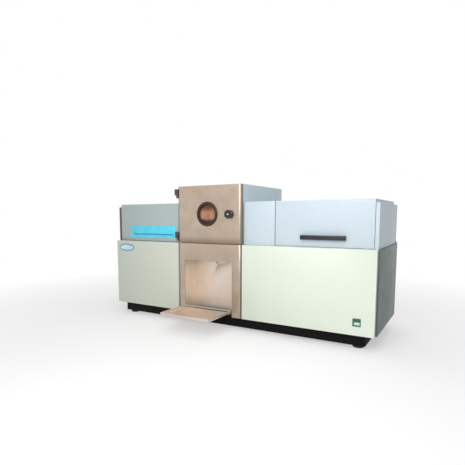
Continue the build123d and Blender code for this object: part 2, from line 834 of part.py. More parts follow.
def burner_carriage():
    """Two curved jaws, their arms and a guide block that carry the chamber on the rods."""
    outer = chamber_radius + cradle_wall
    cradle_front = chamber_back - cradle_length
    y0 = carriage_y - carriage_depth / 2
    z1 = chamber_z + chamber_radius + carriage_rise
    cradle = rod_y(outer, cradle_front, chamber_back, window_x, chamber_z)
    cradle += span(window_x - outer, window_x + outer, cradle_front, y0 + 1,
                   chamber_z - cradle_rise, chamber_z + cradle_rise)
    cradle -= rod_y(chamber_radius + fit, cradle_front - 1, y0, window_x, chamber_z)
    cradle -= span(window_x - outer - 1, window_x + outer + 1, cradle_front - 1, y0,
                   chamber_z + cradle_rise, z1 + 1)
    cradle -= span(window_x - outer - 1, window_x + outer + 1, cradle_front - 1, y0,
                   chamber_z - outer - 1, chamber_z - cradle_drop)
    block = span(window_x - carriage_width / 2, window_x + carriage_width / 2, y0,
                 y0 + carriage_depth, chamber_z - carriage_drop, z1)
    block += cradle
    for side in (-1, 1):
        block -= rod_z(rod_radius + pivot_fit, 0, z1 + 1, window_x + side * rod_spacing / 2, carriage_y)
    return block - rod_z(screw_radius + pivot_fit, 0, z1 + 1, window_x, carriage_y)


def lift_frame():
    """Two guide rods pressed into a base bar and a top bar."""
    reach = rod_spacing / 2 + rod_radius + lift_bar_end
    depth = rod_radius + lift_bar_wall
    top = chamber_z + chamber_radius + carriage_rise + lift_bar_gap
    frame = span(window_x - reach, window_x + reach, carriage_y - depth, carriage_y + depth,
                 seam_z, seam_z + lift_bar)
    frame += span(window_x - reach, window_x + reach, carriage_y - depth, carriage_y + depth,
                  top, top + lift_bar)
    for side in (-1, 1):
        frame += rod_z(rod_radius, seam_z, top + 1, window_x + side * rod_spacing / 2, carriage_y)
    return frame - rod_z(screw_radius + pivot_fit, seam_z + 2, top + lift_bar + 1, window_x, carriage_y)


def lift_screw():
    """Lead screw with a hand wheel on top."""
    top = chamber_z + chamber_radius + carriage_rise + lift_bar_gap + lift_bar + running_gap
    screw = rod_z(screw_radius, seam_z + 2 + running_gap, top + 1, window_x, carriage_y)
    wheel = rod_z(wheel_radius, top, top + wheel_thickness, window_x, carriage_y)
    notches = 6
    for notch in range(notches):
        angle = 2 * math.pi * notch / notches
        wheel -= rod_z(1.8, top - 1, top + wheel_thickness + 1, window_x + wheel_radius * math.cos(angle),
                       carriage_y + wheel_radius * math.sin(angle))
    return screw + wheel


def monochromator_housing():
    """Cast tray with the entrance slit, the exit port and the turntable's bearing."""
    box = span(mono_left, mono_right, mono_front, mono_back, seam_z, mono_top)
    box = fillet(box.edges().filter_by(Axis.Z), 8)
    box -= span(mono_left + mono_wall, mono_right - mono_wall, mono_front + mono_wall,
                mono_back - mono_wall, seam_z + mono_wall, mono_top + 1)
    box -= span(mono_left - 1, mono_left + mono_wall + 1, optic_y - slit_width / 2,
                optic_y + slit_width / 2, optic_z - slit_height / 2, optic_z + slit_height / 2)
    box -= span(mono_left - 1, mono_left + mono_wall + 1, exit_y - slit_width / 2,
                exit_y + slit_width / 2, optic_z - slit_height / 2, optic_z + slit_height / 2)
    floor = seam_z + mono_wall
    box += rod_z(14, floor, floor + 12, grating_x, grating_y)
    return box - rod_z(5 + pivot_fit, floor, floor + 13, grating_x, grating_y)


def monochromator_cover():
    """Flat cover plate."""
    plate = span(mono_left, mono_right, mono_front, mono_back, mono_top, mono_top + mono_cover_thickness)
    return fillet(plate.edges().filter_by(Axis.Z), 8)


def grating_turntable():
    """Turntable with a journal below and a pedestal above."""
    low = seam_z + mono_wall + 12 + running_gap
    table = rod_z(turntable_radius, low, low + turntable_thickness, grating_x, grating_y)
    table += rod_z(5, low - 11, low, grating_x, grating_y)
    table += span(grating_x - 20, grating_x + 20, grating_y - 6, grating_y + 6,
                  low + turntable_thickness, optic_z - grating_size / 2)
    return table


def diffraction_grating():
    """Ruled block on the pedestal."""
    reach = grating_size / 2
    return span(grating_x - reach, grating_x + reach, grating_y - grating_thickness / 2,
                grating_y + grating_thickness / 2, optic_z - reach, optic_z + reach)


def collimating_mirror():
    """Round mirror on a foot."""
    floor = seam_z + mono_wall
    mirror_disc = rod_x(mirror_radius, mirror_x, mirror_x + mirror_thickness, mirror_y, optic_z)
    foot = span(mirror_x, mirror_x + mirror_thickness, mirror_y - 12, mirror_y + 12,
                floor, optic_z)
    return mirror_disc + foot


def detector_housing():
    """Photomultiplier can on the exit port."""
    can = rod_x(detector_radius, mono_left - detector_length, mono_left, exit_y, optic_z)
    return chamfer(can.edges().group_by(Axis.X)[0], 3)


def switch_bezel():
    """Frame and pocket of the power switch."""
    reach = switch_size / 2
    body = reach - 0.5
    pocket = reach - switch_wall
    bezel = span(switch_x - reach - 1, switch_x + reach + 1, -sheet, 0, switch_z - reach - 1,
                 switch_z + reach + 1)
    bezel += span(switch_x - body, switch_x + body, 0, switch_body_depth, switch_z - body, switch_z + body)
    bezel -= span(switch_x - pocket, switch_x + pocket, -sheet - 1, switch_body_depth - 4,
                  switch_z - pocket, switch_z + pocket)
    return bezel - rod_x(1.5 + pivot_fit, switch_x - body - 1, switch_x + body + 1, 5, switch_z)


def power_rocker():
    """Rocker with trunnions, resting on its lower half."""
    pocket = switch_size / 2 - switch_wall
    reach = pocket - 1
    profile = [(-4.5, reach), (-2, 0), (-4.5, -reach), (3, -reach + 1), (3, reach - 1)]
    width = pocket - running_gap
    rocker = extruded_x(profile, -width, width)
    rocker += rod_x(1.5, -pocket - 1, pocket + 1, 0, 0)
    return Pos(switch_x, 5, switch_z) * Rot(rocker_tilt, 0, 0) * rocker


def fan_frame():
    """Square fan frame with a spider that carries the rotor."""
    reach = fan_size / 2
    y1 = frame_back
    y0 = y1 - fan_depth
    frame = span(fan_x - reach, fan_x + reach, y0, y1, fan_z - reach, fan_z + reach)
    frame -= rod_y(fan_bore, y0 - 1, y1 + 1, fan_x, fan_z)
    frame += rod_y(fan_hub_radius, y0, y0 + 3, fan_x, fan_z)
    for angle in (0, 90, 180, 270):
        strut = span(fan_hub_radius - 2, fan_bore + 2, y0, y0 + 3, -3, 3)
        frame += Pos(fan_x, 0, fan_z) * Rot(0, angle, 0) * strut
    return frame - rod_y(3 + pivot_fit, y0 - 1, y0 + 4, fan_x, fan_z)


def fan_rotor():
    """Hub with pitched blades."""
    y0 = frame_back - fan_depth + 3 + running_gap
    y1 = frame_back - 3
    middle = (y0 + y1) / 2
    rotor = rod_y(fan_hub_radius, y0, y1, fan_x, fan_z)
    rotor += rod_y(3, y0 - 3, y0, fan_x, fan_z)
    for blade in range(fan_blades):
        plate = Rot(fan_pitch, 0, 0) * Box(fan_bore - fan_hub_radius, 1.6, 20)
        plate = Pos((fan_hub_radius + fan_bore) / 2 - 2, 0, 0) * plate
        rotor += Pos(fan_x, middle, fan_z) * Rot(0, 360 * blade / fan_blades, 0) * plate
    return rotor


def power_inlet():
    """Mains inlet with three blades in its socket."""
    w = inlet_socket_width / 2
    h = inlet_socket_height / 2
    y0 = frame_back - inlet_socket_depth
    body = span(inlet_socket_x - w, inlet_socket_x + w, y0, cabinet_depth, inlet_socket_z - h,
                inlet_socket_z + h)
    body += span(inlet_socket_x - w - 5, inlet_socket_x + w + 5, cabinet_depth, cabinet_depth + 2,
                 inlet_socket_z - h - 3, inlet_socket_z + h + 3)
    body -= span(inlet_socket_x - 12, inlet_socket_x + 12, y0 + 5, cabinet_depth + 3,
                 inlet_socket_z - 8, inlet_socket_z + 8)
    for x, z in ((-7, -2), (7, -2), (0, 3)):
        body += span(inlet_socket_x + x - 1, inlet_socket_x + x + 1, y0 + 4, cabinet_depth - 6,
                     inlet_socket_z + z - 2, inlet_socket_z + z + 2)
    return body


def gas_fittings():
    """Bulkhead fittings with plain hose spigots."""
    end = gas_nut_length + gas_spigot_length
    back = -sheet - 8
    profile = [(2, back), (gas_body_radius, back), (gas_body_radius, 0), (gas_nut_radius, 0),
               (gas_nut_radius, gas_nut_length), (gas_spigot_radius, gas_nut_length),
               (gas_spigot_radius, end), (2, end)]
    return Compound([turned(profile, Pos(x, cabinet_depth, gas_z) * Rot(-90, 0, 0)) for x in gas_x])


parts["plinth"] = plinth()
parts["rubber_feet"] = rubber_feet()
parts["base_plate"] = base_plate()
parts["deck"] = deck()
parts["left_bulkhead"] = bulkhead(fascia_left - frame_sheet, bulkhead_flange)
parts["right_bulkhead"] = bulkhead(fascia_right + pan_seam / 2, bulkhead_flange)
parts["rear_panel"] = rear_panel()
parts["left_side_panel"] = side_panel(-1)
parts["right_side_panel"] = side_panel(1)
parts["lower_left_panel"] = front_pan(-half, fascia_left - pan_seam)
lower_right = front_pan(fascia_right + pan_seam, half)
switch_cut = switch_size / 2 - 0.5 + fit
parts["lower_right_panel"] = lower_right - span(switch_x - switch_cut, switch_x + switch_cut, -1, sheet + 1,
                                                switch_z - switch_cut, switch_z + switch_cut)
parts["switch_bezel"] = switch_bezel()
parts["power_rocker"] = power_rocker()
parts["burner_fascia"] = burner_fascia()
parts["recess_liner"] = recess_liner()
parts["sample_inlet"] = sample_inlet()
parts["sample_tray"] = sample_tray()
parts["tray_hinge_pin"] = tray_hinge_pin()
parts["tower_housing"] = tower_housing()
parts["exhaust_grille"] = exhaust_grille()
parts["heat_shield"] = heat_shield()
parts["beam_window_mounts"] = Compound([beam_mount(-1), beam_mount(1)])
parts["beam_windows"] = beam_windows()
parts["door_skin"] = door_skin()
parts["door_liner"] = door_liner()
parts["window_bezel"] = window_bezel()
parts["window_gasket"] = window_gasket()
parts["window_glass"] = window_glass()
parts["door_knob"] = door_knob()
parts["door_hinge_brackets"] = door_hinge_brackets()
parts["door_hinge_knuckles"] = door_hinge_knuckles()
parts["door_hinge_pins"] = door_hinge_pins()
parts["lamp_hood"] = hood(-hood_left, hood_inner_left, True, hinge_centres()[:2])
parts["spectrometer_hood"] = hood(spectrometer_left, hood_left, False, hinge_centres()[2:])
parts["hood_hinge_brackets"] = hood_hinge_brackets()
parts["hood_hinge_pins"] = hood_hinge_pins()
parts["left_end_cheek"] = end_cheek(-1)
parts["right_end_cheek"] = end_cheek(1)
parts["fixed_cover"] = fixed_cover()
parts["hood_handle"] = hood_handle()
parts["turret_bracket"] = turret_bracket()
parts["turret_motor"] = turret_motor()
parts["lamp_turret"] = lamp_turret()
parts["hollow_cathode_lamps"] = hollow_cathode_lamps()
parts["burner_head"] = burner_head()
parts["spray_chamber"] = spray_chamber()
parts["nebulizer"] = nebulizer()
parts["burner_carriage"] = burner_carriage()
parts["lift_frame"] = lift_frame()
parts["lift_screw"] = lift_screw()
parts["monochromator_housing"] = monochromator_housing()
parts["monochromator_cover"] = monochromator_cover()
parts["grating_turntable"] = grating_turntable()
parts["diffraction_grating"] = diffraction_grating()
parts["collimating_mirror"] = collimating_mirror()
parts["detector_housing"] = detector_housing()
parts["fan_frame"] = fan_frame()
parts["fan_rotor"] = fan_rotor()
parts["gas_fittings"] = gas_fittings()
parts["power_inlet"] = power_inlet()

os.makedirs("parts", exist_ok=True)
for name, solid in parts.items():
    export_step(Pos(0, shift_y, 0) * solid, f"parts/{name}.step")
print(len(parts), "pieces written")
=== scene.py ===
"""Looks of a bench-top flame absorption spectrophotometer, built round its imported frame."""

import json
import logging
import math
from dataclasses import dataclass, field
from enum import Enum
from typing import ClassVar

import bmesh
import bpy
from mathutils import Euler, Matrix, Vector


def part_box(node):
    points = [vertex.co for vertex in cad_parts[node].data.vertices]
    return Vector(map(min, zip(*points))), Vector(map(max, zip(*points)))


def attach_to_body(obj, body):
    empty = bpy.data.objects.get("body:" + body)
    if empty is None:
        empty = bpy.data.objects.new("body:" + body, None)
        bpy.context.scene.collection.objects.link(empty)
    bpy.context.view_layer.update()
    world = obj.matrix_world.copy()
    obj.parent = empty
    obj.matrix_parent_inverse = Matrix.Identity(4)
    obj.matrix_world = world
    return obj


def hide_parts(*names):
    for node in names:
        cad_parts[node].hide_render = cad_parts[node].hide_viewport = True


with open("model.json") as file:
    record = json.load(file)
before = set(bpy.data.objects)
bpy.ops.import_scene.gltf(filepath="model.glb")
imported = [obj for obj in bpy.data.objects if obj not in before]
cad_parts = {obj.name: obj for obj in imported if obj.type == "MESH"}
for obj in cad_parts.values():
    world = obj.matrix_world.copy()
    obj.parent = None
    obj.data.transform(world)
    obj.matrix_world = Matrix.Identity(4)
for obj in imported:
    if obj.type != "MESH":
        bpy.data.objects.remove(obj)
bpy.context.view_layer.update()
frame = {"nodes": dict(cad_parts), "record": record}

LOG = logging.getLogger("spectrophotometer")
RENDER_SIDE = 465

Colour = tuple[float, float, float]
Socket = bpy.types.NodeSocket
Piece = bpy.types.Object


def srgb(red: int, green: int, blue: int) -> Colour:
    """Turns display values into linear ones.

    Args:
        red: Red, 0 to 255.
        green: Green, 0 to 255.
        blue: Blue, 0 to 255.

    Returns:
        The linear colour.
    """
    def linear(value: int) -> float:
        """One channel, from display to linear."""
        share = value / 255
        return share / 12.92 if share <= 0.04045 else ((share + 0.055) / 1.055) ** 2.4
    return linear(red), linear(green), linear(blue)


class Axis(Enum):
    """Directions that a screw, a brushing or a turned piece can follow."""

    X = (1.0, 0.0, 0.0)
    Y = (0.0, 1.0, 0.0)
    Z = (0.0, 0.0, 1.0)
    FRONT = (0.0, -1.0, 0.0)

    def turn(self) -> Euler:
        """The rotation that takes +Z to this direction."""
        return Vector((0.0, 0.0, 1.0)).rotation_difference(Vector(self.value)).to_euler()


def wired(tree: bpy.types.NodeTree, kind: str, settings: dict[str, object] | None = None,
          **inputs: object) -> bpy.types.Node:
    """Adds a node to a tree and feeds its inputs.

    Args:
        tree: The tree.
        kind: The node's kind.
        settings: Its properties, set before its inputs.
        inputs: Values, sockets or lists of sockets by the input's name, underscores standing for
            spaces, or by its number after an underscore. None leaves an input as it is.

    Returns:
        The node.
    """
    made = tree.nodes.new(kind)
    for key, value in (settings or {}).items():
        setattr(made, key, value)
    for key, value in inputs.items():
        socket = made.inputs[int(key[1:]) if key.startswith("_") else key.replace("_", " ")]
        for part in value if isinstance(value, list) else [value]:
            if isinstance(part, Socket):
                tree.links.new(part, socket)
            elif part is not None:
                socket.default_value = part
    return made


class ShaderGraph:
    """A node tree with a Principled surface and short calls for what feeds it."""

    def __init__(self, name: str) -> None:
        """Starts an empty material.

        Args:
            name: The material's name.
        """
        self.material = bpy.data.materials.new(name)
        self.material.use_nodes = True
        self.tree = self.material.node_tree
        self.tree.nodes.clear()
        self.surface = wired(self.tree, "ShaderNodeBsdfPrincipled")
        wired(self.tree, "ShaderNodeOutputMaterial", Surface=self.surface.outputs["BSDF"])
        self.place = wired(self.tree, "ShaderNodeTexCoord").outputs["Object"]

    def fix(self, **values: float | tuple) -> None:
        """Sets constant values on the surface's sockets, underscores standing for spaces."""
        for key, value in values.items():
            self.surface.inputs[key.replace("_", " ")].default_value = value

    def join(self, source: Socket, name: str) -> None:
        """Feeds one socket of the surface."""
        self.tree.links.new(source, self.surface.inputs[name])

    def stretched(self, scale: tuple[float, float, float]) -> Socket:
        """Object coordinates scaled along each axis."""
        return wired(self.tree, "ShaderNodeMapping", Vector=self.place, Scale=scale).outputs["Vector"]

    def height(self) -> Socket:
        """The Z coordinate of each point."""
        return wired(self.tree, "ShaderNodeSeparateXYZ", Vector=self.place).outputs["Z"]

    def noise(self, scale: float, detail: float = 3.0, roughness: float = 0.5,
              vector: Socket | None = None) -> Socket:
        """A noise pattern.

        Args:
            scale: Cells per metre.
            detail: Octaves.
            roughness: Strength of the fine octaves.
            vector: Coordinates, or none for the piece's own.

        Returns:
            The pattern's value.
        """
        return wired(self.tree, "ShaderNodeTexNoise", Vector=vector or self.place, Scale=scale,
                     Detail=detail, Roughness=roughness).outputs["Fac"]

    def spread(self, value: Socket, low: float, high: float,
               start: float = 0.3, stop: float = 0.7) -> Socket:
        """Maps a pattern's value from one range to another."""
        return wired(self.tree, "ShaderNodeMapRange", Value=value, From_Min=start, From_Max=stop,
                     To_Min=low, To_Max=high).outputs["Result"]

    def blend(self, share: Socket, first: Colour | Socket,
              second: Colour | Socket) -> Socket:
        """Mixes two colours by a value."""
        low, high = ((*part, 1.0) if isinstance(part, tuple) else part for part in (first, second))
        return wired(self.tree, "ShaderNodeMix", {"data_type": "RGBA"}, Factor=share, _6=low,
                     _7=high).outputs[2]

    def bump(self, height: Socket, depth: float, strength: float = 1.0,
             under: Socket | None = None) -> Socket:
        """A bump in metres from a pattern, on top of another where one is given."""
        return wired(self.tree, "ShaderNodeBump", Height=height, Distance=depth, Strength=strength,
                     Normal=under).outputs["Normal"]


def shade(colour: Colour, factor: float) -> Colour:
    """A colour made darker or lighter."""
    return colour[0] * factor, colour[1] * factor, colour[2] * factor


@dataclass(frozen=True)
class Finish:
    """A surface finish, made once and shared by its pieces."""

    name: str
    colour: Colour
    roughness: float

    def build(self) -> bpy.types.Material:
        """The finish's material."""
        label = f"{self.name}_finish"
        found = bpy.data.materials.get(label)
        if found is not None:
            return found
        graph = ShaderGraph(label)
        graph.fix(Base_Color=(*self.colour, 1.0), Roughness=self.roughness)
        self.dress(graph)
        return graph.material

    def dress(self, graph: ShaderGraph) -> None:
        """Adds what the finish shows, to the graph given."""
        raise NotImplementedError


@dataclass(frozen=True)
class PaintedSheet(Finish):
    """Powder paint with a fine peel, faint tone drift and rubbed patches."""

    peel_scale: float = 620.0
    peel_depth: float = 0.00006
    drift: float = 0.05
    specular: float = 0.5

    def dress(self, graph: ShaderGraph) -> None:
        """Adds peel, tone drift and changes of gloss, to the graph given."""
        graph.fix(Specular_IOR_Level=self.specular)
        drift = graph.spread(graph.noise(2.6, 4.0), 0.0, 1.0)
        speck = graph.spread(graph.noise(240.0, 2.0), 0.0, 1.0, 0.35, 0.65)
        tone = graph.blend(drift, shade(self.colour, 1.0 - self.drift), self.colour)
        graph.join(graph.blend(graph.spread(speck, 0.0, 0.14, 0.0, 1.0), tone,
                               shade(self.colour, 0.86)), "Base Color")
        gloss = graph.spread(graph.noise(7.0, 5.0, 0.6), self.roughness - 0.06, self.roughness + 0.08)
        graph.join(gloss, "Roughness")
        peel = graph.bump(graph.noise(self.peel_scale, 2.0), self.peel_depth, 0.6)
        graph.join(graph.bump(graph.noise(11.0, 2.0), 0.0004, 0.25, peel), "Normal")


@dataclass(frozen=True)
class BrushedMetal(Finish):
    """Brushed or ground metal with streaks along one axis and soft stains."""

    along: Axis = Axis.X
    stain: float = 0.12
    streak_scale: float = 900.0
    streak_depth: float = 0.00002

    def dress(self, graph: ShaderGraph) -> None:
        """Adds streaks and stains, to the graph given."""
        graph.fix(Metallic=1.0)
        scale = tuple(0.012 if part else 1.0 for part in self.along.value)
        streaks = graph.noise(self.streak_scale, 3.0, 0.6, graph.stretched(scale))
        clouds = graph.spread(graph.noise(9.0, 5.0, 0.6), 0.0, 1.0)
        tone = graph.blend(clouds, shade(self.colour, 1.0 - self.stain), self.colour)
        fine = graph.blend(graph.spread(streaks, 0.0, 0.5), tone, shade(self.colour, 0.78))
        graph.join(self.marks_and_painted_reflection(graph, fine), "Base Color")
        graph.join(graph.spread(streaks, self.roughness - 0.07, self.roughness + 0.1), "Roughness")
        graph.join(graph.bump(streaks, self.streak_depth, 0.5), "Normal")

    def marks_and_painted_reflection(self, graph: ShaderGraph, colour: Socket) -> Socket:
        """The colour with the finish's marks and painted reflection, of which plain metal has none."""
        return colour


@dataclass(frozen=True)
class ReflectionBandSteel(BrushedMetal):
    """Brushed steel with a painted dark reflection, a brown band along a node's lower edge, and faint
    heat marks.
    """

    node: str = "door_skin"
    band: float = 0.024
    # Brown of the painted dark reflection band and of the heat marks.
    reflection_and_heat_tone: Colour = srgb(128, 104, 84)

    def marks_and_painted_reflection(self, graph: ShaderGraph, colour: Socket) -> Socket:
        """The colour with the painted reflection band and the heat marks."""
        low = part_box(self.node)[0].z
        # Painted reflection: darker brown towards the node's lower edge.
        band = graph.spread(graph.height(), 0.75, 0.0, low, low + self.band)
        marks = graph.spread(graph.noise(17.0, 6.0, 0.7), 0.0, 0.35, 0.52, 0.78)
        return graph.blend(band, graph.blend(marks, colour, self.reflection_and_heat_tone), self.reflection_and_heat_tone)


@dataclass(frozen=True)
class MouldedPlastic(Finish):
    """Moulded plastic or rubber with a fine grain."""

    grain_scale: float = 900.0
    grain_depth: float = 0.00005
    coat: float = 0.0

    def dress(self, graph: ShaderGraph) -> None:
        """Adds grain and a faint change of tone, to the graph given."""
        graph.fix(Coat_Weight=self.coat, Coat_Roughness=0.12)
        share = graph.spread(graph.noise(30.0, 4.0), 0.0, 1.0)
        graph.join(graph.blend(share, shade(self.colour, 0.85), shade(self.colour, 1.08)), "Base Color")
        graph.join(graph.spread(graph.noise(60.0, 3.0), self.roughness - 0.05, self.roughness + 0.06),
                   "Roughness")
        graph.join(graph.bump(graph.noise(self.grain_scale, 2.0), self.grain_depth, 0.5), "Normal")


@dataclass(frozen=True)
class CastMetal(Finish):
    """Cast or anodised metal with a sandy skin."""

    grain_scale: float = 420.0

    def dress(self, graph: ShaderGraph) -> None:
        """Adds the sandy skin, to the graph given."""
        graph.fix(Metallic=1.0)
        share = graph.spread(graph.noise(24.0, 4.0), 0.0, 1.0)
        graph.join(graph.blend(share, shade(self.colour, 0.82), self.colour), "Base Color")
        graph.join(graph.spread(graph.noise(80.0, 3.0), self.roughness - 0.06, self.roughness + 0.08),
                   "Roughness")
        graph.join(graph.bump(graph.noise(self.grain_scale, 3.0), 0.00012, 0.5), "Normal")


@dataclass(frozen=True)
class Glass(Finish):
    """Clear or tinted glass with faint waves and smears."""

    clarity: float = 1.0
    ior: float = 1.5

    def dress(self, graph: ShaderGraph) -> None:
        """Adds waves and smears, to the graph given."""
        graph.fix(Transmission_Weight=self.clarity, IOR=self.ior)
        smear = graph.noise(26.0, 5.0, 0.6)
        graph.join(graph.spread(smear, self.roughness, self.roughness + 0.08, 0.45, 0.75), "Roughness")
        share = graph.spread(graph.noise(16.0, 3.0), 0.0, 1.0)
        graph.join(graph.blend(share, shade(self.colour, 0.8), self.colour), "Base Color")
        graph.join(graph.bump(graph.noise(14.0, 1.0), 0.0006, 0.2), "Normal")


@dataclass(frozen=True)
class BandedGlass(Finish):
    """Tinted glass with painted shade and reflection: a red upper band and a dark lower edge round a tan
    middle.
    """

    reach: float = 0.026
    clarity: float = 0.25

    def dress(self, graph: ShaderGraph) -> None:
        """Adds the painted bands of shade and reflection across the pane and faint waves, to the graph
        given.
        """
        graph.fix(Transmission_Weight=self.clarity, IOR=1.5)
        low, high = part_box("window_glass")
        centre = (low.z + high.z) / 2
        height = graph.height()
        # Painted shade and reflection: a red band above the middle and a dark edge below it.
        upper = graph.spread(height, 0.0, 1.0, centre + 0.2 * self.reach, centre + 0.9 * self.reach)
        lower = graph.spread(height, 1.0, 0.0, centre - 0.95 * self.reach, centre - 0.55 * self.reach)
        clouds = graph.spread(graph.noise(55.0, 3.0), 0.0, 1.0)
        middle = graph.blend(clouds, self.colour, srgb(176, 112, 76))
        topped = graph.blend(upper, middle, srgb(116, 42, 26))
        graph.join(graph.blend(lower, topped, srgb(50, 26, 18)), "Base Color")
        graph.join(graph.bump(graph.noise(14.0, 1.0), 0.0006, 0.2), "Normal")


@dataclass(frozen=True)
class TwoTone(Finish):
    """Moulded key, green above its middle and white below."""

    line: float = 0.0002

    def dress(self, graph: ShaderGraph) -> None:
        """Adds the two halves and a fine grain, to the graph given."""
        low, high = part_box("power_rocker")
        centre = (low.z + high.z) / 2
        upper = graph.spread(graph.height(), 0.0, 1.0, centre - self.line, centre + self.line)
        graph.join(graph.blend(upper, srgb(232, 238, 232), self.colour), "Base Color")
        graph.join(graph.bump(graph.noise(900.0, 2.0), 0.00002, 0.5), "Normal")


class Palette:
    """The finishes of the machine, by name."""

    BLUE_GREY = PaintedSheet("blue_grey_paint", srgb(204, 218, 227), 0.42)
    # Painted shade: a darker copy of the blue-grey paint, for the lamp cover and the rear panel.
    SHADED_BLUE_GREY = PaintedSheet("shaded_blue_grey_paint", srgb(182, 194, 194), 0.42)
    TOWER_GREY = PaintedSheet("tower_grey_paint", srgb(198, 216, 221), 0.42)
    PALE_GREEN = PaintedSheet("pale_green_paint", srgb(228, 236, 222), 0.42)
    # Painted shade: a darker copy of the pale green paint, for the left pan further from the light.
    SHADED_PALE_GREEN = PaintedSheet("shaded_pale_green_paint", srgb(214, 220, 206), 0.42)
    DARK_GREEN = PaintedSheet("dark_green_paint", srgb(84, 100, 96), 0.45)
    BLACK_PAINT = PaintedSheet("black_paint", srgb(17, 12, 14), 0.6, 500.0, 0.00008, 0.05, 0.12)
    WARM_STEEL = BrushedMetal("warm_steel", srgb(198, 180, 162), 0.36, Axis.X, 0.24)
    DOOR_STEEL = ReflectionBandSteel("door_steel", srgb(202, 184, 166), 0.36, Axis.X, 0.24)
    LINER_STEEL = BrushedMetal("liner_steel", srgb(236, 222, 208), 0.42, Axis.Z)
    # Painted light: a brighter copy of the warm steel, for the tray whose top faces the light.
    LIT_TRAY_STEEL = BrushedMetal("lit_tray_steel", srgb(224, 210, 198), 0.42, Axis.X)
    BRIGHT_STEEL = BrushedMetal("bright_steel", srgb(214, 214, 212), 0.22, Axis.Z, 0.05)
    ZINC = BrushedMetal("zinc_steel", srgb(190, 192, 190), 0.42, Axis.X, 0.15)
    TITANIUM = BrushedMetal("titanium", srgb(150, 146, 140), 0.34, Axis.X, 0.3)
    BRASS = BrushedMetal("brass", srgb(206, 170, 96), 0.3, Axis.Y, 0.15)
    CAST = CastMetal("cast_aluminium", srgb(186, 188, 190), 0.5)
    ANODISED = CastMetal("black_anodised", srgb(36, 37, 40), 0.42, 700.0)
    BLACK_PLASTIC = MouldedPlastic("black_plastic", srgb(26, 27, 34), 0.36)
    KNOB_BLACK = MouldedPlastic("knob_black", srgb(22, 22, 24), 0.3, 700.0, 0.00003, 0.3)
    # Painted shade: a dark mauve-brown for the left end cheek, standing for a shadowed steel edge.
    SHADE_MAUVE = MouldedPlastic("mauve_plastic", srgb(104, 84, 84), 0.5)
    HINGE = MouldedPlastic("hinge_brown", srgb(74, 62, 62), 0.42)
    RUBBER = MouldedPlastic("rubber", srgb(28, 27, 27), 0.7, 300.0, 0.0001)
    GASKET = MouldedPlastic("gasket_rubber", srgb(26, 20, 18), 0.55, 300.0, 0.0001)
    # Painted shade and dark reflection: dark brown steel on the window bezel, standing for the dark ring
    # round the window.
    SHADED_BEZEL = BrushedMetal("shaded_bezel", srgb(84, 70, 60), 0.3, Axis.Z, 0.2)
    # Painted dark reflection: a darker steel for the side faces of the door and fascia.
    SIDE_SHADE_STEEL = BrushedMetal("side_shade_steel", srgb(150, 140, 128), 0.42, Axis.Z, 0.2)
    SWITCH_GREEN = MouldedPlastic("switch_green", srgb(30, 118, 88), 0.3, 900.0, 0.00002, 0.3)
    ROCKER = TwoTone("rocker_two_tone", srgb(30, 118, 88), 0.3)
    CHAMBER = MouldedPlastic("chamber_plastic", srgb(214, 212, 202), 0.4)
    LABEL = MouldedPlastic("label_cyan", srgb(92, 226, 252), 0.35, 500.0, 0.00002, 0.2)
    LABEL_BAND = MouldedPlastic("label_band", srgb(52, 140, 205), 0.35, 500.0, 0.00002, 0.2)
    BADGE = MouldedPlastic("badge_blue", srgb(74, 150, 205), 0.3, 500.0, 0.00002, 0.3)
    BADGE_FIELD = MouldedPlastic("badge_field", srgb(214, 232, 240), 0.3, 500.0, 0.00002, 0.3)
    AMBER = BandedGlass("amber_glass", srgb(206, 160, 118), 0.05)
    CLEAR = Glass("clear_glass", srgb(240, 246, 248), 0.03)
    SILICA = Glass("silica", srgb(245, 248, 250), 0.02)
    MIRROR = BrushedMetal("grating_mirror", srgb(226, 226, 232), 0.06, Axis.Z, 0.02, 4000.0)
    CATHODE = BrushedMetal("cathode_metal", srgb(168, 160, 150), 0.35, Axis.X)


def new_object(name: str, mesh: bpy.types.Mesh, finish: Finish) -> Piece:
    """Puts a mesh in the scene with one finish.

    Args:
        name: The piece's name.
        mesh: Its mesh, in place.
        finish: Its finish.

    Returns:
        The new object.
    """
    piece = bpy.data.objects.new(name, mesh)
    bpy.context.scene.collection.objects.link(piece)
    mesh.materials.clear()
    mesh.materials.append(finish.build())
    return piece


def smooth(mesh: bpy.types.Mesh, limit: float = 34.0) -> None:
    """Smooth shading with sharp edges above an angle in degrees."""
    mesh.shade_smooth()
    mesh.set_sharp_from_angle(angle=math.radians(limit))


def baked(piece: Piece) -> Piece:
    """Applies a piece's modifiers to its mesh and clears them."""
    graph = bpy.context.evaluated_depsgraph_get()
    mesh = bpy.data.meshes.new_from_object(piece.evaluated_get(graph), depsgraph=graph)
    piece.modifiers.clear()
    piece.data = mesh
    return piece


def attach(piece: Piece, body: str, slot: str, *nodes: str) -> Piece:
    """Rides a piece on a body and hides the nodes it stands for.

    Args:
        piece: The piece.
        body: The body that carries it.
        slot: The record's material slot; not used.
        nodes: CAD nodes that it stands for.

    Returns:
        The same piece.
    """
    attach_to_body(piece, body)
    if nodes:
        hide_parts(*nodes)
    LOG.info("%s rides on %s, %d faces", piece.name, body, len(piece.data.polygons))
    return piece


def node_body(node: str) -> str:
    """The body that holds a CAD node."""
    for body, nodes in frame["record"]["behaviour"]["bodies"].items():
        if node in nodes:
            return body
    raise KeyError(node)


def node_slot(node: str) -> str:
    """The material slot of a CAD node."""
    rows = frame["record"]["subparts"]
    return next(row["material_slot"] for row in rows if row["node"] == node)


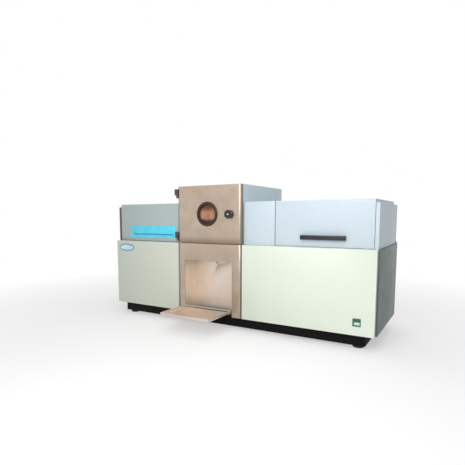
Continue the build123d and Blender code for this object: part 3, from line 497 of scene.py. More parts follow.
def merged_copy(node: str) -> bmesh.types.BMesh:
    """A node's mesh with its doubles merged and its flat faces joined."""
    work = bmesh.new()
    work.from_mesh(frame["nodes"][node].data)
    bmesh.ops.remove_doubles(work, verts=work.verts, dist=2e-6)
    bmesh.ops.dissolve_limit(work, angle_limit=math.radians(0.6), verts=work.verts,
                             edges=work.edges, use_dissolve_boundaries=False)
    return work


@dataclass(frozen=True)
class EdgeWork:
    """How the edges of a refined node are broken."""

    width: float = 0.0005
    segments: int = 2
    angle: float = 40.0


class Edges:
    """The broken edges that the pieces share, from thin sheet to thick mouldings."""

    HAIR = EdgeWork(0.0002, 1)
    FINE = EdgeWork(0.0003, 1)
    CRISP = EdgeWork(0.0003)
    EVEN = EdgeWork(0.0004)
    GROUND = EdgeWork(0.0004, 1)
    SPUN = EdgeWork(0.0004, 3)
    BROKEN = EdgeWork(0.0005)
    CAST = EdgeWork(0.0006)
    FOLDED = EdgeWork(0.0006, 3)
    PAN = EdgeWork(0.0007, 3)
    MOULDED = EdgeWork(0.0008, 3)
    RUBBER = EdgeWork(0.0012, 3)
    CHEEK = EdgeWork(0.0015, 4)


def refine(node: str, finish: Finish, edges: EdgeWork = Edges.BROKEN) -> Piece:
    """Stands a copy with broken edges in for a CAD node.

    Args:
        node: The node.
        finish: The finish of the copy.
        edges: Width, steps and least angle of the broken edges.

    Returns:
        The new piece.
    """
    work = merged_copy(node)
    mesh = bpy.data.meshes.new(f"{node}_look")
    work.to_mesh(mesh)
    work.free()
    piece = new_object(f"{node}_look", mesh, finish)
    bevel = piece.modifiers.new("edges", "BEVEL")
    bevel.width = edges.width
    bevel.segments = edges.segments
    bevel.limit_method = "ANGLE"
    bevel.angle_limit = math.radians(edges.angle)
    bevel.use_clamp_overlap = True
    bevel.harden_normals = False
    baked(piece)
    smooth(piece.data)
    return attach(piece, node_body(node), node_slot(node), node)


def paint_side_shade(piece: Piece, finish: Finish, least: float = 0.45) -> None:
    """Paints shade on the faces that look left or right, by giving them a second, darker finish.

    Args:
        piece: The piece.
        finish: The finish of those faces.
        least: Least share of X in a face's normal.
    """
    piece.data.materials.append(finish.build())
    for face in piece.data.polygons:
        if abs(face.normal.x) > least:
            face.material_index = len(piece.data.materials) - 1


def lathe(name: str, profile: list[tuple[float, float]], centre: Vector, axis: Axis,
          finish: Finish, steps: int = 96) -> Piece:
    """Turns a closed profile round an axis.

    Args:
        name: The piece's name.
        profile: Radius and height pairs in metres, from the axis or round a ring.
        centre: Where height 0 lies on the axis.
        axis: The direction of growing height.
        finish: Its finish.
        steps: Facets round the axis.

    Returns:
        The new piece.
    """
    work = bmesh.new()
    rings: list[list[bmesh.types.BMVert]] = []
    for radius, height in profile:
        if radius < 1e-7:
            rings.append([work.verts.new((0.0, 0.0, height))])
            continue
        rings.append([work.verts.new((radius * math.cos(2 * math.pi * step / steps),
                                      radius * math.sin(2 * math.pi * step / steps), height))
                      for step in range(steps)])
    solid = len(rings[0]) == 1 and len(rings[-1]) == 1
    pairs = list(zip(rings, rings[1:])) if solid else list(zip(rings, rings[1:] + rings[:1]))
    for low, high in pairs:
        for step in range(steps):
            following = (step + 1) % steps
            if len(low) == 1 and len(high) == 1:
                continue
            if len(low) == 1:
                work.faces.new((low[0], high[following], high[step]))
            elif len(high) == 1:
                work.faces.new((low[step], low[following], high[0]))
            else:
                work.faces.new((low[step], low[following], high[following], high[step]))
    bmesh.ops.recalc_face_normals(work, faces=work.faces)
    bmesh.ops.transform(work, matrix=Matrix.Translation(centre) @ axis.turn().to_matrix().to_4x4(),
                        verts=work.verts)
    mesh = bpy.data.meshes.new(name)
    work.to_mesh(mesh)
    work.free()
    smooth(mesh, 30.0)
    return new_object(name, mesh, finish)


def upright_plate(name: str, outline: list[tuple[float, float]], front: float, back: float,
                  finish: Finish, edge: float = 0.0) -> Piece:
    """A thin plate facing -Y.

    Args:
        name: The piece's name.
        outline: X and Z of its corners, in order.
        front: Y of its front face.
        back: Y of its rear face.
        finish: Its finish.
        edge: Width of the soft rim in front, or 0 for a sharp one.

    Returns:
        The new piece.
    """
    work = bmesh.new()
    base = work.faces.new([work.verts.new((x, back, z)) for x, z in outline])
    grown = bmesh.ops.extrude_face_region(work, geom=[base])
    moved = [item for item in grown["geom"] if isinstance(item, bmesh.types.BMVert)]
    bmesh.ops.translate(work, verts=moved, vec=(0.0, front - back, 0.0))
    if edge:
        rim = [item for item in work.edges if all(abs(vert.co.y - front) < 1e-7 for vert in item.verts)]
        bmesh.ops.bevel(work, geom=rim, offset=edge, segments=2, affect="EDGES", profile=0.5)
    bmesh.ops.recalc_face_normals(work, faces=work.faces)
    mesh = bpy.data.meshes.new(name)
    work.to_mesh(mesh)
    work.free()
    smooth(mesh, 30.0)
    return new_object(name, mesh, finish)


def rounded_plate(name: str, low: Vector, high: Vector, radius: float,
                  finish: Finish) -> Piece:
    """A thin upright plate with rounded corners and a soft rim.

    Args:
        name: The piece's name.
        low: Its lowest corner.
        high: Its highest corner.
        radius: Corner radius in the XZ plane.
        finish: Its finish.

    Returns:
        The new piece.
    """
    outline: list[tuple[float, float]] = []
    corner_steps = 8
    corners = ((high.x - radius, high.z - radius, 0.0), (low.x + radius, high.z - radius, 90.0),
               (low.x + radius, low.z + radius, 180.0), (high.x - radius, low.z + radius, 270.0))
    for x, z, start in corners:
        for step in range(corner_steps + 1):
            angle = math.radians(start + 90.0 * step / corner_steps)
            outline.append((x + radius * math.cos(angle), z + radius * math.sin(angle)))
    return upright_plate(name, outline, low.y, high.y, finish, edge=0.0002)


def oval_plate(name: str, centre: Vector, half_wide: float, half_tall: float, depth: float,
               finish: Finish) -> Piece:
    """A thin upright oval plate.

    Args:
        name: The piece's name.
        centre: The middle of its front face.
        half_wide: Half of its width.
        half_tall: Half of its height.
        depth: Its thickness.
        finish: Its finish.

    Returns:
        The new piece.
    """
    steps = 72
    angles = [2 * math.pi * step / steps for step in range(steps)]
    outline = [(centre.x + half_wide * math.cos(angle), centre.z + half_tall * math.sin(angle))
               for angle in angles]
    return upright_plate(name, outline, centre.y, centre.y + depth, finish)


class GeometryTree:
    """A Geometry Nodes tree with named inputs, ended by Realize Instances and Set Material."""

    def __init__(self, name: str) -> None:
        """Starts a tree that takes and gives geometry.

        Args:
            name: The tree's name.
        """
        self.tree = bpy.data.node_groups.new(name, "GeometryNodeTree")
        self.inputs: dict[str, str] = {}
        self.tree.interface.new_socket("Geometry", in_out="INPUT", socket_type="NodeSocketGeometry")
        self.tree.interface.new_socket("Geometry", in_out="OUTPUT", socket_type="NodeSocketGeometry")
        self.enter = self.add("NodeGroupInput")
        self.leave = self.add("NodeGroupOutput")

    def add(self, kind: str, settings: dict[str, object] | None = None,
            **inputs: object) -> bpy.types.Node:
        """Adds a node with its properties and inputs."""
        return wired(self.tree, kind, settings, **inputs)

    def size(self, name: str, kind: str = "NodeSocketFloat") -> Socket:
        """Adds a named input and returns its socket inside the tree."""
        item = self.tree.interface.new_socket(name, in_out="INPUT", socket_type=kind)
        self.inputs[name] = item.identifier
        return self.enter.outputs[name]

    def maths(self, operation: str, first: Socket | float,
              second: Socket | float = 0.0) -> Socket:
        """A sum on two values."""
        return self.add("ShaderNodeMath", {"operation": operation}, _0=first, _1=second).outputs[0]

    def times(self, first: Socket | float, second: Socket | float) -> Socket:
        """The product of two values."""
        return self.maths("MULTIPLY", first, second)

    def vector(self, x: object = 0.0, y: object = 0.0, z: object = 0.0) -> Socket:
        """A vector from numbers or sockets."""
        return self.add("ShaderNodeCombineXYZ", X=x, Y=y, Z=z).outputs[0]

    def finish(self, geometry: Socket) -> None:
        """Ends the tree with real copies and their material."""
        realize = self.add("GeometryNodeRealizeInstances", Geometry=geometry)
        coat = self.add("GeometryNodeSetMaterial", Geometry=realize.outputs["Geometry"],
                        Material=self.size("Finish", "NodeSocketMaterial"))
        self.tree.links.new(coat.outputs["Geometry"], self.leave.inputs[0])

    def grow(self, name: str, start: bpy.types.Mesh, finish: Finish,
             **sizes: object) -> Piece:
        """Runs the tree on a mesh and returns a plain piece.

        Args:
            name: The piece's name.
            start: The mesh that the tree takes.
            finish: Its finish.
            sizes: Values of the named inputs, underscores standing for spaces.

        Returns:
            The piece, with its modifier applied.
        """
        piece = new_object(name, start, finish)
        modifier = piece.modifiers.new(name, "NODES")
        modifier.node_group = self.tree
        for key, value in sizes.items():
            modifier[self.inputs[key.replace("_", " ")]] = value
        modifier[self.inputs["Finish"]] = finish.build()
        baked(piece)
        smooth(piece.data, 30.0)
        return piece


def points_mesh(name: str, points: list[Vector]) -> bpy.types.Mesh:
    """A mesh of loose points."""
    mesh = bpy.data.meshes.new(name)
    mesh.from_pydata([tuple(point) for point in points], [], [])
    return mesh


class ScrewTree(GeometryTree):
    """Screw heads with a hexagon socket, one on each point."""

    crown_share = 0.82
    socket_share = 0.45
    socket_rise = 0.9

    def __init__(self) -> None:
        """Builds the tree once."""
        super().__init__("screw_heads")
        radius = self.size("Head Radius")
        height = self.size("Head Height")
        turn = self.size("Facing", "NodeSocketRotation")
        head = self.add("GeometryNodeMeshCone", Vertices=24, Radius_Bottom=radius, Depth=height,
                        Radius_Top=self.times(radius, self.crown_share))
        socket = self.add("GeometryNodeMeshCylinder", Vertices=6, Depth=height,
                          Radius=self.times(radius, self.socket_share))
        rise = self.vector(z=self.times(height, self.socket_rise))
        sunk = self.add("GeometryNodeTransform", Geometry=socket.outputs["Mesh"], Translation=rise)
        cut = self.add("GeometryNodeMeshBoolean", {"operation": "DIFFERENCE"},
                       Mesh_1=head.outputs["Mesh"], Mesh_2=sunk.outputs["Geometry"])
        dots = self.add("GeometryNodeMeshToPoints", Mesh=self.enter.outputs["Geometry"])
        spawn = self.add("GeometryNodeInstanceOnPoints", Points=dots.outputs["Points"],
                         Instance=cut.outputs["Mesh"], Rotation=turn)
        self.finish(spawn.outputs["Instances"])


class GuardTree(GeometryTree):
    """Concentric wire rings on radial spokes, as on a fan guard."""

    ring_steps = 64
    wire_steps = 8
    spoke_share = 0.94
    spoke_middle = 0.53
    spoke_sink = -1.9
    seat_radius = 0.00001

    def __init__(self) -> None:
        """Builds the tree once."""
        super().__init__("wire_guard")
        reach = self.size("Reach")
        rings = self.size("Rings", "NodeSocketInt")
        spokes = self.size("Spokes", "NodeSocketInt")
        wire = self.size("Wire Radius")
        centre = self.size("Centre", "NodeSocketVector")
        hoops = self.hoops(reach, rings, wire)
        star = self.star(reach, spokes, wire)
        both = self.add("GeometryNodeJoinGeometry", Geometry=[hoops, star])
        turned = self.add("GeometryNodeTransform", Geometry=both.outputs["Geometry"],
                          Rotation=(-math.pi / 2, 0.0, 0.0))
        placed = self.add("GeometryNodeTransform", Geometry=turned.outputs["Geometry"],
                          Translation=centre)
        self.finish(placed.outputs["Geometry"])

    def hoops(self, reach: Socket, rings: Socket,
              wire: Socket) -> Socket:
        """The rings, evenly spaced out to the reach."""
        seats = self.add("GeometryNodeMeshLine", {"mode": "OFFSET"}, Count=rings,
                         Offset=(0.0, 0.0, 0.0))
        circle = self.add("GeometryNodeCurvePrimitiveCircle", Resolution=self.ring_steps, Radius=1.0)
        index = self.add("GeometryNodeInputIndex").outputs[0]
        step = self.maths("DIVIDE", self.maths("ADD", index, 1.0), rings)
        scale = self.times(step, reach)
        spawn = self.add("GeometryNodeInstanceOnPoints", Points=seats.outputs["Mesh"],
                         Instance=circle.outputs["Curve"], Scale=self.vector(scale, scale, 1.0))
        lines = self.add("GeometryNodeRealizeInstances", Geometry=spawn.outputs["Instances"])
        profile = self.add("GeometryNodeCurvePrimitiveCircle", Resolution=self.wire_steps, Radius=wire)
        tubes = self.add("GeometryNodeCurveToMesh", Curve=lines.outputs["Geometry"],
                         Profile_Curve=profile.outputs["Curve"])
        return tubes.outputs["Mesh"]

    def star(self, reach: Socket, spokes: Socket,
             wire: Socket) -> Socket:
        """The spokes, laid under the rings."""
        seats = self.add("GeometryNodeMeshCircle", Vertices=spokes, Radius=self.seat_radius)
        bar = self.add("GeometryNodeMeshCylinder", Vertices=self.wire_steps, Radius=wire,
                       Depth=self.times(reach, self.spoke_share))
        middle = self.vector(self.times(reach, self.spoke_middle), 0.0,
                             self.times(wire, self.spoke_sink))
        laid = self.add("GeometryNodeTransform", Geometry=bar.outputs["Mesh"],
                        Rotation=(0.0, math.pi / 2, 0.0), Translation=middle)
        index = self.add("GeometryNodeInputIndex").outputs[0]
        angle = self.maths("DIVIDE", self.times(index, 2 * math.pi), spokes)
        spawn = self.add("GeometryNodeInstanceOnPoints", Points=seats.outputs["Mesh"],
                         Instance=laid.outputs["Geometry"], Rotation=self.vector(z=angle))
        return spawn.outputs["Instances"]


class RingTree(GeometryTree):
    """Copies of a piece placed round an axis along X."""

    def __init__(self) -> None:
        """Builds the tree once."""
        super().__init__("ring_of_copies")
        count = self.size("Count", "NodeSocketInt")
        radius = self.size("Pitch Radius")
        first = self.size("First Angle")
        centre = self.size("Centre", "NodeSocketVector")
        seats = self.add("GeometryNodeMeshLine", {"mode": "OFFSET"}, Count=count)
        index = self.add("GeometryNodeInputIndex").outputs[0]
        share = self.maths("DIVIDE", self.times(index, 2 * math.pi), count)
        angle = self.maths("ADD", share, first)
        y = self.times(self.maths("COSINE", angle), radius)
        z = self.times(self.maths("SINE", angle), radius)
        ring = self.add("GeometryNodeSetPosition", Geometry=seats.outputs["Mesh"],
                        Position=self.vector(0.0, y, z))
        spawn = self.add("GeometryNodeInstanceOnPoints", Points=ring.outputs["Geometry"],
                         Instance=self.enter.outputs["Geometry"])
        placed = self.add("GeometryNodeTransform", Geometry=spawn.outputs["Instances"],
                          Translation=centre)
        self.finish(placed.outputs["Geometry"])


@dataclass
class Trees:
    """The Geometry Nodes trees that the sub-assemblies share."""

    screws: ScrewTree = field(default_factory=ScrewTree)
    guard: GuardTree = field(default_factory=GuardTree)
    ring: RingTree = field(default_factory=RingTree)

    def screw_row(self, name: str, points: list[Vector], facing: Axis, body: str,
                  radius: float = 0.003, height: float = 0.0016,
                  finish: Finish = Palette.BRIGHT_STEEL, slot: str = "bright_steel") -> Piece:
        """Screw heads on points of a flat face.

        Args:
            name: The piece's name.
            points: Places on the face.
            facing: The face's outward direction.
            body: The body that carries them.
            radius: Head radius.
            height: Head height.
            finish: Their finish.
            slot: Their material slot.

        Returns:
            One piece with every head.
        """
        start = points_mesh(name, points)
        heads = self.screws.grow(name, start, finish, Head_Radius=radius, Head_Height=height,
                                 Facing=facing.turn())
        return attach(heads, body, slot)


@dataclass
class Assembly:
    """A sub-assembly: the nodes that it dresses, and what it adds to them."""

    trees: Trees
    looks: ClassVar[dict[str, tuple[Finish, EdgeWork]]] = {}
    side_shaded: ClassVar[tuple[str, ...]] = ()

    def build(self) -> None:
        """Dresses every node of the sub-assembly, then adds its details."""
        for node, (finish, edges) in self.looks.items():
            piece = refine(node, finish, edges)
            if node in self.side_shaded:
                paint_side_shade(piece, Palette.SIDE_SHADE_STEEL)
        self.details()

    def details(self) -> None:
        """Adds what the nodes alone don't show."""


@dataclass
class LowerCabinet(Assembly):
    """Plinth, feet, frame, front pans, side skins and rear panel."""

    looks: ClassVar = {
        "plinth": (Palette.BLACK_PAINT, Edges.CAST),
        # Painted shade: the base plate is black so that it fills the dark gap under the tray.
        "base_plate": (Palette.BLACK_PAINT, Edges.BROKEN),
        "rubber_feet": (Palette.RUBBER, Edges.RUBBER),
        "deck": (Palette.ZINC, Edges.BROKEN),
        "left_bulkhead": (Palette.ZINC, Edges.BROKEN),
        "right_bulkhead": (Palette.ZINC, Edges.BROKEN),
        "rear_panel": (Palette.SHADED_BLUE_GREY, Edges.FINE),
        "lower_left_panel": (Palette.SHADED_PALE_GREEN, Edges.PAN),
        "lower_right_panel": (Palette.PALE_GREEN, Edges.PAN),
        "left_side_panel": (Palette.DARK_GREEN, Edges.PAN),
        "right_side_panel": (Palette.DARK_GREEN, Edges.PAN),
    }
    badge_centre: tuple[float, float] = (-0.455, 0.2755)
    badge_size: tuple[float, float] = (0.080, 0.030)
    badge_rim: float = 0.0045
    badge_proud: float = 0.0008
    field_proud: float = 0.0004
    screw_columns: int = 8
    screw_inset: float = 0.02
    screw_rise: float = 0.008
    screw_drop: float = 0.014

    def details(self) -> None:
        """Adds the badge and the rear screws."""
        self.badge()
        self.screws()

    def badge(self) -> None:
        """Adds the plain oval badge on the left pan."""
        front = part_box("lower_left_panel")[0].y
        x, z = self.badge_centre
        wide, tall = self.badge_size
        proud = self.badge_proud
        for name, shrink, finish in (("oval_badge", 0.0, Palette.BADGE),
                                     ("oval_badge_field", self.badge_rim, Palette.BADGE_FIELD)):
            plate = oval_plate(name, Vector((x, front - proud, z)), wide / 2 - shrink, tall / 2 - shrink,
                               self.badge_proud, finish)
            attach(plate, "cabinet", "blue_grey_paint")
            proud += self.field_proud

    def screws(self) -> None:
        """Adds the screws of the rear panel."""
        low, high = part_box("rear_panel")
        first, last = low.x + self.screw_inset, high.x - self.screw_inset
        levels = (low.z + self.screw_rise, high.z - self.screw_drop)
        points = []
        for index in range(self.screw_columns):
            x = first + (last - first) * index / (self.screw_columns - 1)
            points += [Vector((x, high.y, z)) for z in levels]
        self.trees.screw_row("rear_panel_screws", points, Axis.Y, "cabinet")


@dataclass
class SampleBay(Assembly):
    """Steel fascia, recess, inlet and the fold-down tray."""

    looks: ClassVar = {
        "burner_fascia": (Palette.WARM_STEEL, Edges.EVEN),
        "recess_liner": (Palette.LINER_STEEL, Edges.FINE),
        "sample_inlet": (Palette.BRIGHT_STEEL, Edges.CRISP),
        "sample_tray": (Palette.LIT_TRAY_STEEL, Edges.BROKEN),
        "tray_hinge_pin": (Palette.BRIGHT_STEEL, Edges.FINE),
    }
    side_shaded: ClassVar = ("burner_fascia",)


@dataclass
class Tower(Assembly):
    """Housing round the burner with its shield, grille and beam windows."""

    looks: ClassVar = {
        "tower_housing": (Palette.TOWER_GREY, Edges.FOLDED),
        "exhaust_grille": (Palette.ZINC, Edges.HAIR),
        "heat_shield": (Palette.LINER_STEEL, Edges.FINE),
        "beam_window_mounts": (Palette.ANODISED, Edges.CRISP),
        "beam_windows": (Palette.SILICA, Edges.HAIR),
        "door_hinge_brackets": (Palette.HINGE, Edges.MOULDED),
        "door_hinge_pins": (Palette.BRIGHT_STEEL, Edges.CRISP),
    }


@dataclass
class Door(Assembly):
    """Windowed steel door with its knob and hinge knuckles."""

    looks: ClassVar = {
        "door_skin": (Palette.DOOR_STEEL, Edges.EVEN),
        "door_liner": (Palette.LINER_STEEL, Edges.FINE),
        "window_bezel": (Palette.SHADED_BEZEL, Edges.SPUN),
        "window_gasket": (Palette.GASKET, Edges.EVEN),
        "window_glass": (Palette.AMBER, Edges.CRISP),
        "door_knob": (Palette.KNOB_BLACK, Edges.FOLDED),
        "door_hinge_knuckles": (Palette.HINGE, Edges.FOLDED),
    }
    side_shaded: ClassVar = ("door_skin",)
    screw_radius: float = 0.0034
    screw_height: float = 0.0012

    def details(self) -> None:
        """Adds the screw in the middle of the knob."""
        low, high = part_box("door_knob")
        middle = Vector(((low.x + high.x) / 2, low.y, (low.z + high.z) / 2))
        self.trees.screw_row("knob_screw", [middle], Axis.FRONT, node_body("door_knob"),
                             radius=self.screw_radius, height=self.screw_height)


@dataclass
class Covers(Assembly):
    """Hinged lamp and optics covers, fixed cover, end cheeks and handle."""

    looks: ClassVar = {
        "lamp_hood": (Palette.SHADED_BLUE_GREY, Edges.FOLDED),
        "spectrometer_hood": (Palette.BLUE_GREY, Edges.FOLDED),
        "fixed_cover": (Palette.BLUE_GREY, Edges.FOLDED),
        "left_end_cheek": (Palette.SHADE_MAUVE, Edges.CHEEK),
        "right_end_cheek": (Palette.BLUE_GREY, Edges.CHEEK),
        "hood_handle": (Palette.BLACK_PLASTIC, Edges.MOULDED),
        "hood_hinge_brackets": (Palette.ZINC, Edges.FINE),
        "hood_hinge_pins": (Palette.BRIGHT_STEEL, Edges.FINE),
    }
    plate_reach: tuple[float, float] = (-0.444, -0.216)
    plate_low: float = 0.317
    plate_high: float = 0.363
    plate_proud: float = 0.0005
    band_inset: float = 0.012
    band_low: float = 0.328
    band_high: float = 0.3325

    def details(self) -> None:
        """Adds the plain blue plate and its darker band on the lamp cover."""
        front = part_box("lamp_hood")[0].y
        left, right = self.plate_reach
        low = Vector((left, front - self.plate_proud, self.plate_low))
        high = Vector((right, front, self.plate_high))
        attach(rounded_plate("cover_plate", low, high, 0.002, Palette.LABEL), "lamp_cover",
               "blue_grey_paint")
        low = Vector((left + self.band_inset, front - 2 * self.plate_proud, self.band_low))
        high = Vector((right - self.band_inset, front - self.plate_proud, self.band_high))
        attach(rounded_plate("cover_plate_band", low, high, 0.0012, Palette.LABEL_BAND), "lamp_cover",
               "blue_grey_paint")


@dataclass
class LampCarousel(Assembly):
    """Turret, its motor and bracket, and the four lamps."""

    looks: ClassVar = {
        "turret_bracket": (Palette.ZINC, Edges.FINE),
        "turret_motor": (Palette.BLACK_PLASTIC, Edges.BROKEN),
        "lamp_turret": (Palette.ANODISED, Edges.EVEN),
        "hollow_cathode_lamps": (Palette.CLEAR, Edges.EVEN),
    }
    lamp_count: int = 4
    lamp_radius: float = 0.0185
    cup_share: float = 0.6
    cup_radius: float = 0.0085
    cup_bore: float = 0.0055
    cup_length: float = 0.018
    cup_floor: float = 0.004

    def details(self) -> None:
        """Adds a cathode cup inside each lamp, as one ring of copies."""
        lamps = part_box("hollow_cathode_lamps")
        axis_y, axis_z = ((lamps[0][part] + lamps[1][part]) / 2 for part in (1, 2))
        tips = [vert.co for vert in frame["nodes"]["hollow_cathode_lamps"].data.vertices]
        farthest = max(math.hypot(tip.y - axis_y, tip.z - axis_z) for tip in tips)
        pitch = farthest - self.lamp_radius
        edge = max(tips, key=lambda tip: math.hypot(tip.y - axis_y, tip.z - axis_z))
        first = math.atan2(edge.z - axis_z, edge.y - axis_y)
        profile = [(0.0, 0.0), (self.cup_radius, 0.0), (self.cup_radius, self.cup_length),
                   (self.cup_bore, self.cup_length), (self.cup_bore, self.cup_floor),
                   (0.0, self.cup_floor)]
        cup = lathe("cathode_cup", profile, Vector((0.0, 0.0, 0.0)), Axis.X, Palette.CATHODE, 32)
        start = cup.data
        bpy.data.objects.remove(cup)
        centre = (lamps[0].x + (lamps[1].x - lamps[0].x) * self.cup_share, axis_y, axis_z)
        cups = self.trees.ring.grow("lamp_cathodes", start, Palette.CATHODE,
                                    Count=self.lamp_count, Pitch_Radius=pitch, First_Angle=first,
                                    Centre=centre)
        attach(cups, node_body("hollow_cathode_lamps"), "bright_steel")


@dataclass
class Burner(Assembly):
    """Burner head, chamber, nebulizer and the lift that carries them."""

    looks: ClassVar = {
        "burner_head": (Palette.TITANIUM, Edges.FINE),
        "spray_chamber": (Palette.CHAMBER, Edges.EVEN),
        "nebulizer": (Palette.BRIGHT_STEEL, Edges.FINE),
        "burner_carriage": (Palette.CAST, Edges.BROKEN),
        "lift_frame": (Palette.BRIGHT_STEEL, Edges.EVEN),
        "lift_screw": (Palette.BRIGHT_STEEL, Edges.EVEN),
    }


@dataclass
class Optics(Assembly):
    """Monochromator, its grating and mirror, and the detector."""

    looks: ClassVar = {
        "monochromator_housing": (Palette.CAST, Edges.CAST),
        "monochromator_cover": (Palette.CAST, Edges.BROKEN),
        "grating_turntable": (Palette.ANODISED, Edges.EVEN),
        "diffraction_grating": (Palette.MIRROR, Edges.GROUND),
        "collimating_mirror": (Palette.ANODISED, Edges.GROUND),
        "detector_housing": (Palette.ANODISED, Edges.EVEN),
    }


@dataclass
class Services(Assembly):
    """Power switch, fan, mains inlet and gas fittings."""

    looks: ClassVar = {
        "switch_bezel": (Palette.SWITCH_GREEN, Edges.EVEN),
        "power_rocker": (Palette.ROCKER, Edges.EVEN),
        "fan_frame": (Palette.BLACK_PLASTIC, Edges.EVEN),
        "fan_rotor": (Palette.BLACK_PLASTIC, Edges.FINE),
        "power_inlet": (Palette.BLACK_PLASTIC, Edges.CRISP),
        "gas_fittings": (Palette.BRASS, Edges.CRISP),
    }
    guard_gap: float = 0.0035
    guard_inset: float = 0.003
    guard_wire: float = 0.0008
    guard_rings: int = 7
    guard_spokes: int = 4

    def details(self) -> None:
        """Adds the wire guard over the fan."""
        low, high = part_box("fan_frame")
        middle = Vector(((low.x + high.x) / 2, high.y + self.guard_gap, (low.z + high.z) / 2))
        reach = (high.x - low.x) / 2 - self.guard_inset
        guard = self.trees.guard.grow("fan_guard", points_mesh("fan_guard", [middle]),
                                      Palette.BRIGHT_STEEL, Reach=reach,
                                      Rings=self.guard_rings, Spokes=self.guard_spokes,
                                      Wire_Radius=self.guard_wire, Centre=tuple(middle))
        attach(guard, node_body("fan_frame"), "bright_steel")


@dataclass(frozen=True)
class SoftLight:
    """A square area light that looks at the part's middle."""

    name: str
    place: tuple[float, float, float]
    side: float
    power: float
    target: tuple[float, float, float] = (0.0, 0.0, 0.25)

    def build(self) -> None:
        """Puts the light in the scene."""
        data = bpy.data.lights.new(self.name, "AREA")
        data.shape = "SQUARE"
        data.size = self.side
        data.energy = self.power
        lamp = bpy.data.objects.new(self.name, data)
        lamp.location = self.place
        aim = Vector(self.target) - Vector(self.place)
        lamp.rotation_euler = aim.to_track_quat("-Z", "Y").to_euler()
        bpy.context.scene.collection.objects.link(lamp)


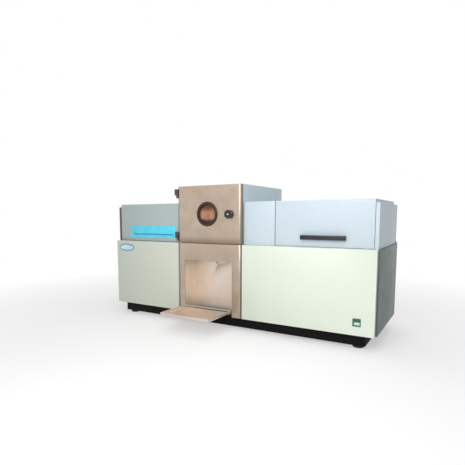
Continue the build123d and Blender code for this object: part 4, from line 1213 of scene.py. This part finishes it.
@dataclass
class Studio:
    """Floor, backdrop, lights and camera."""

    floor_tone: float = 0.9
    floor_reach: float = 30.0
    near_white: float = 0.5
    shadow_reach: tuple[float, float] = (0.7, 1.6)
    world_strength: float = 0.26
    lights: tuple[SoftLight, ...] = (
        SoftLight("key_light", (0.4, -1.1, 0.84), 0.8, 10.5),
        SoftLight("fill_light", (-2.6, -2.0, 1.9), 2.4, 1.5),
        SoftLight("top_light", (0.2, 0.2, 3.0), 2.6, 30.0),
        SoftLight("rear_light", (-0.5, 2.6, 1.7), 2.2, 22.0))
    camera_place: tuple[float, float, float] = (0.7189, -1.3233, 0.4006)
    yaw: float = -31.8
    pitch: float = -6.2
    roll: float = -0.2
    focal_pixels: float = 403.7
    centre_pixels: tuple[float, float] = (215.0, 260.0)

    def build(self) -> None:
        """Sets up the whole studio."""
        bpy.context.scene.view_settings.view_transform = "Standard"
        self.world()
        self.floor()
        for light in self.lights:
            light.build()
        self.camera()

    def white_for_camera(self, tree: bpy.types.NodeTree) -> Socket:
        """A value that is 1 on camera, glossy and transmission rays."""
        path = wired(tree, "ShaderNodeLightPath")
        total = path.outputs["Is Camera Ray"]
        for name in ("Is Glossy Ray", "Is Transmission Ray"):
            most = wired(tree, "ShaderNodeMath", {"operation": "MAXIMUM"}, _0=total,
                         _1=path.outputs[name])
            total = most.outputs[0]
        return total

    def world(self) -> None:
        """Soft light from all round, seen as white."""
        world = bpy.data.worlds.new("studio_world")
        bpy.context.scene.world = world
        world.use_nodes = True
        tree = world.node_tree
        back = tree.nodes["Background"]
        back.inputs["Color"].default_value = (1.0, 1.0, 1.0, 1.0)
        strength = wired(tree, "ShaderNodeMapRange", Value=self.white_for_camera(tree),
                         To_Min=self.world_strength, To_Max=1.0)
        tree.links.new(strength.outputs["Result"], back.inputs["Strength"])

    def floor(self) -> None:
        """A wide pale bench top that keeps the near shadow and is seen as white far off."""
        mesh = bpy.data.meshes.new("bench_top")
        reach = self.floor_reach
        mesh.from_pydata([(-reach, -reach, 0.0), (reach, -reach, 0.0), (reach, reach, 0.0),
                          (-reach, reach, 0.0)], [], [(0, 1, 2, 3)])
        floor = bpy.data.objects.new("bench_top", mesh)
        bpy.context.scene.collection.objects.link(floor)
        material = bpy.data.materials.new("bench_top")
        material.use_nodes = True
        tree = material.node_tree
        surface = tree.nodes["Principled BSDF"]
        surface.inputs["Base Color"].default_value = (self.floor_tone,) * 3 + (1.0,)
        surface.inputs["Roughness"].default_value = 0.9
        surface.inputs["Specular IOR Level"].default_value = 0.1
        place = wired(tree, "ShaderNodeTexCoord").outputs["Object"]
        length = wired(tree, "ShaderNodeVectorMath", {"operation": "LENGTH"}, _0=place)
        near, far = self.shadow_reach
        white = wired(tree, "ShaderNodeMapRange", Value=length.outputs["Value"], From_Min=near,
                      From_Max=far, To_Min=self.near_white, To_Max=1.0)
        seen = wired(tree, "ShaderNodeMath", {"operation": "MULTIPLY"}, _0=white.outputs["Result"],
                     _1=self.white_for_camera(tree))
        glow = wired(tree, "ShaderNodeEmission")
        both = wired(tree, "ShaderNodeMixShader", Fac=seen.outputs[0], _1=surface.outputs["BSDF"],
                     _2=glow.outputs["Emission"])
        tree.links.new(both.outputs["Shader"], tree.nodes["Material Output"].inputs["Surface"])
        mesh.materials.append(material)

    def camera(self) -> None:
        """The photograph's viewpoint."""
        yaw, pitch, roll = (math.radians(value) for value in (self.yaw, self.pitch, self.roll))
        ahead = Vector((math.sin(yaw) * math.cos(pitch), math.cos(yaw) * math.cos(pitch),
                        math.sin(pitch)))
        side = Vector((math.cos(yaw), -math.sin(yaw), 0.0))
        above = side.cross(ahead)
        right = side * math.cos(roll) + above * math.sin(roll)
        upward = right.cross(ahead)
        data = bpy.data.cameras.new("viewpoint")
        data.sensor_width = 36.0
        data.lens = 36.0 * self.focal_pixels / RENDER_SIDE
        data.shift_x = (RENDER_SIDE / 2 - self.centre_pixels[0]) / RENDER_SIDE
        data.shift_y = (self.centre_pixels[1] - RENDER_SIDE / 2) / RENDER_SIDE
        data.clip_end = 100.0
        camera = bpy.data.objects.new("viewpoint", data)
        turn = Matrix((right, upward, -ahead)).transposed().to_4x4()
        camera.matrix_world = Matrix.Translation(self.camera_place) @ turn
        bpy.context.scene.collection.objects.link(camera)
        bpy.context.scene.camera = camera


def main() -> None:
    """Builds every sub-assembly, the studio and the camera."""
    logging.basicConfig(level=logging.INFO, format="%(name)s: %(message)s")
    trees = Trees()
    for assembly in (LowerCabinet, SampleBay, Tower, Door, Covers, LampCarousel, Burner, Optics,
                     Services):
        LOG.info("building %s", assembly.__name__)
        assembly(trees).build()
    Studio().build()


if __name__ == "__main__":
    main()
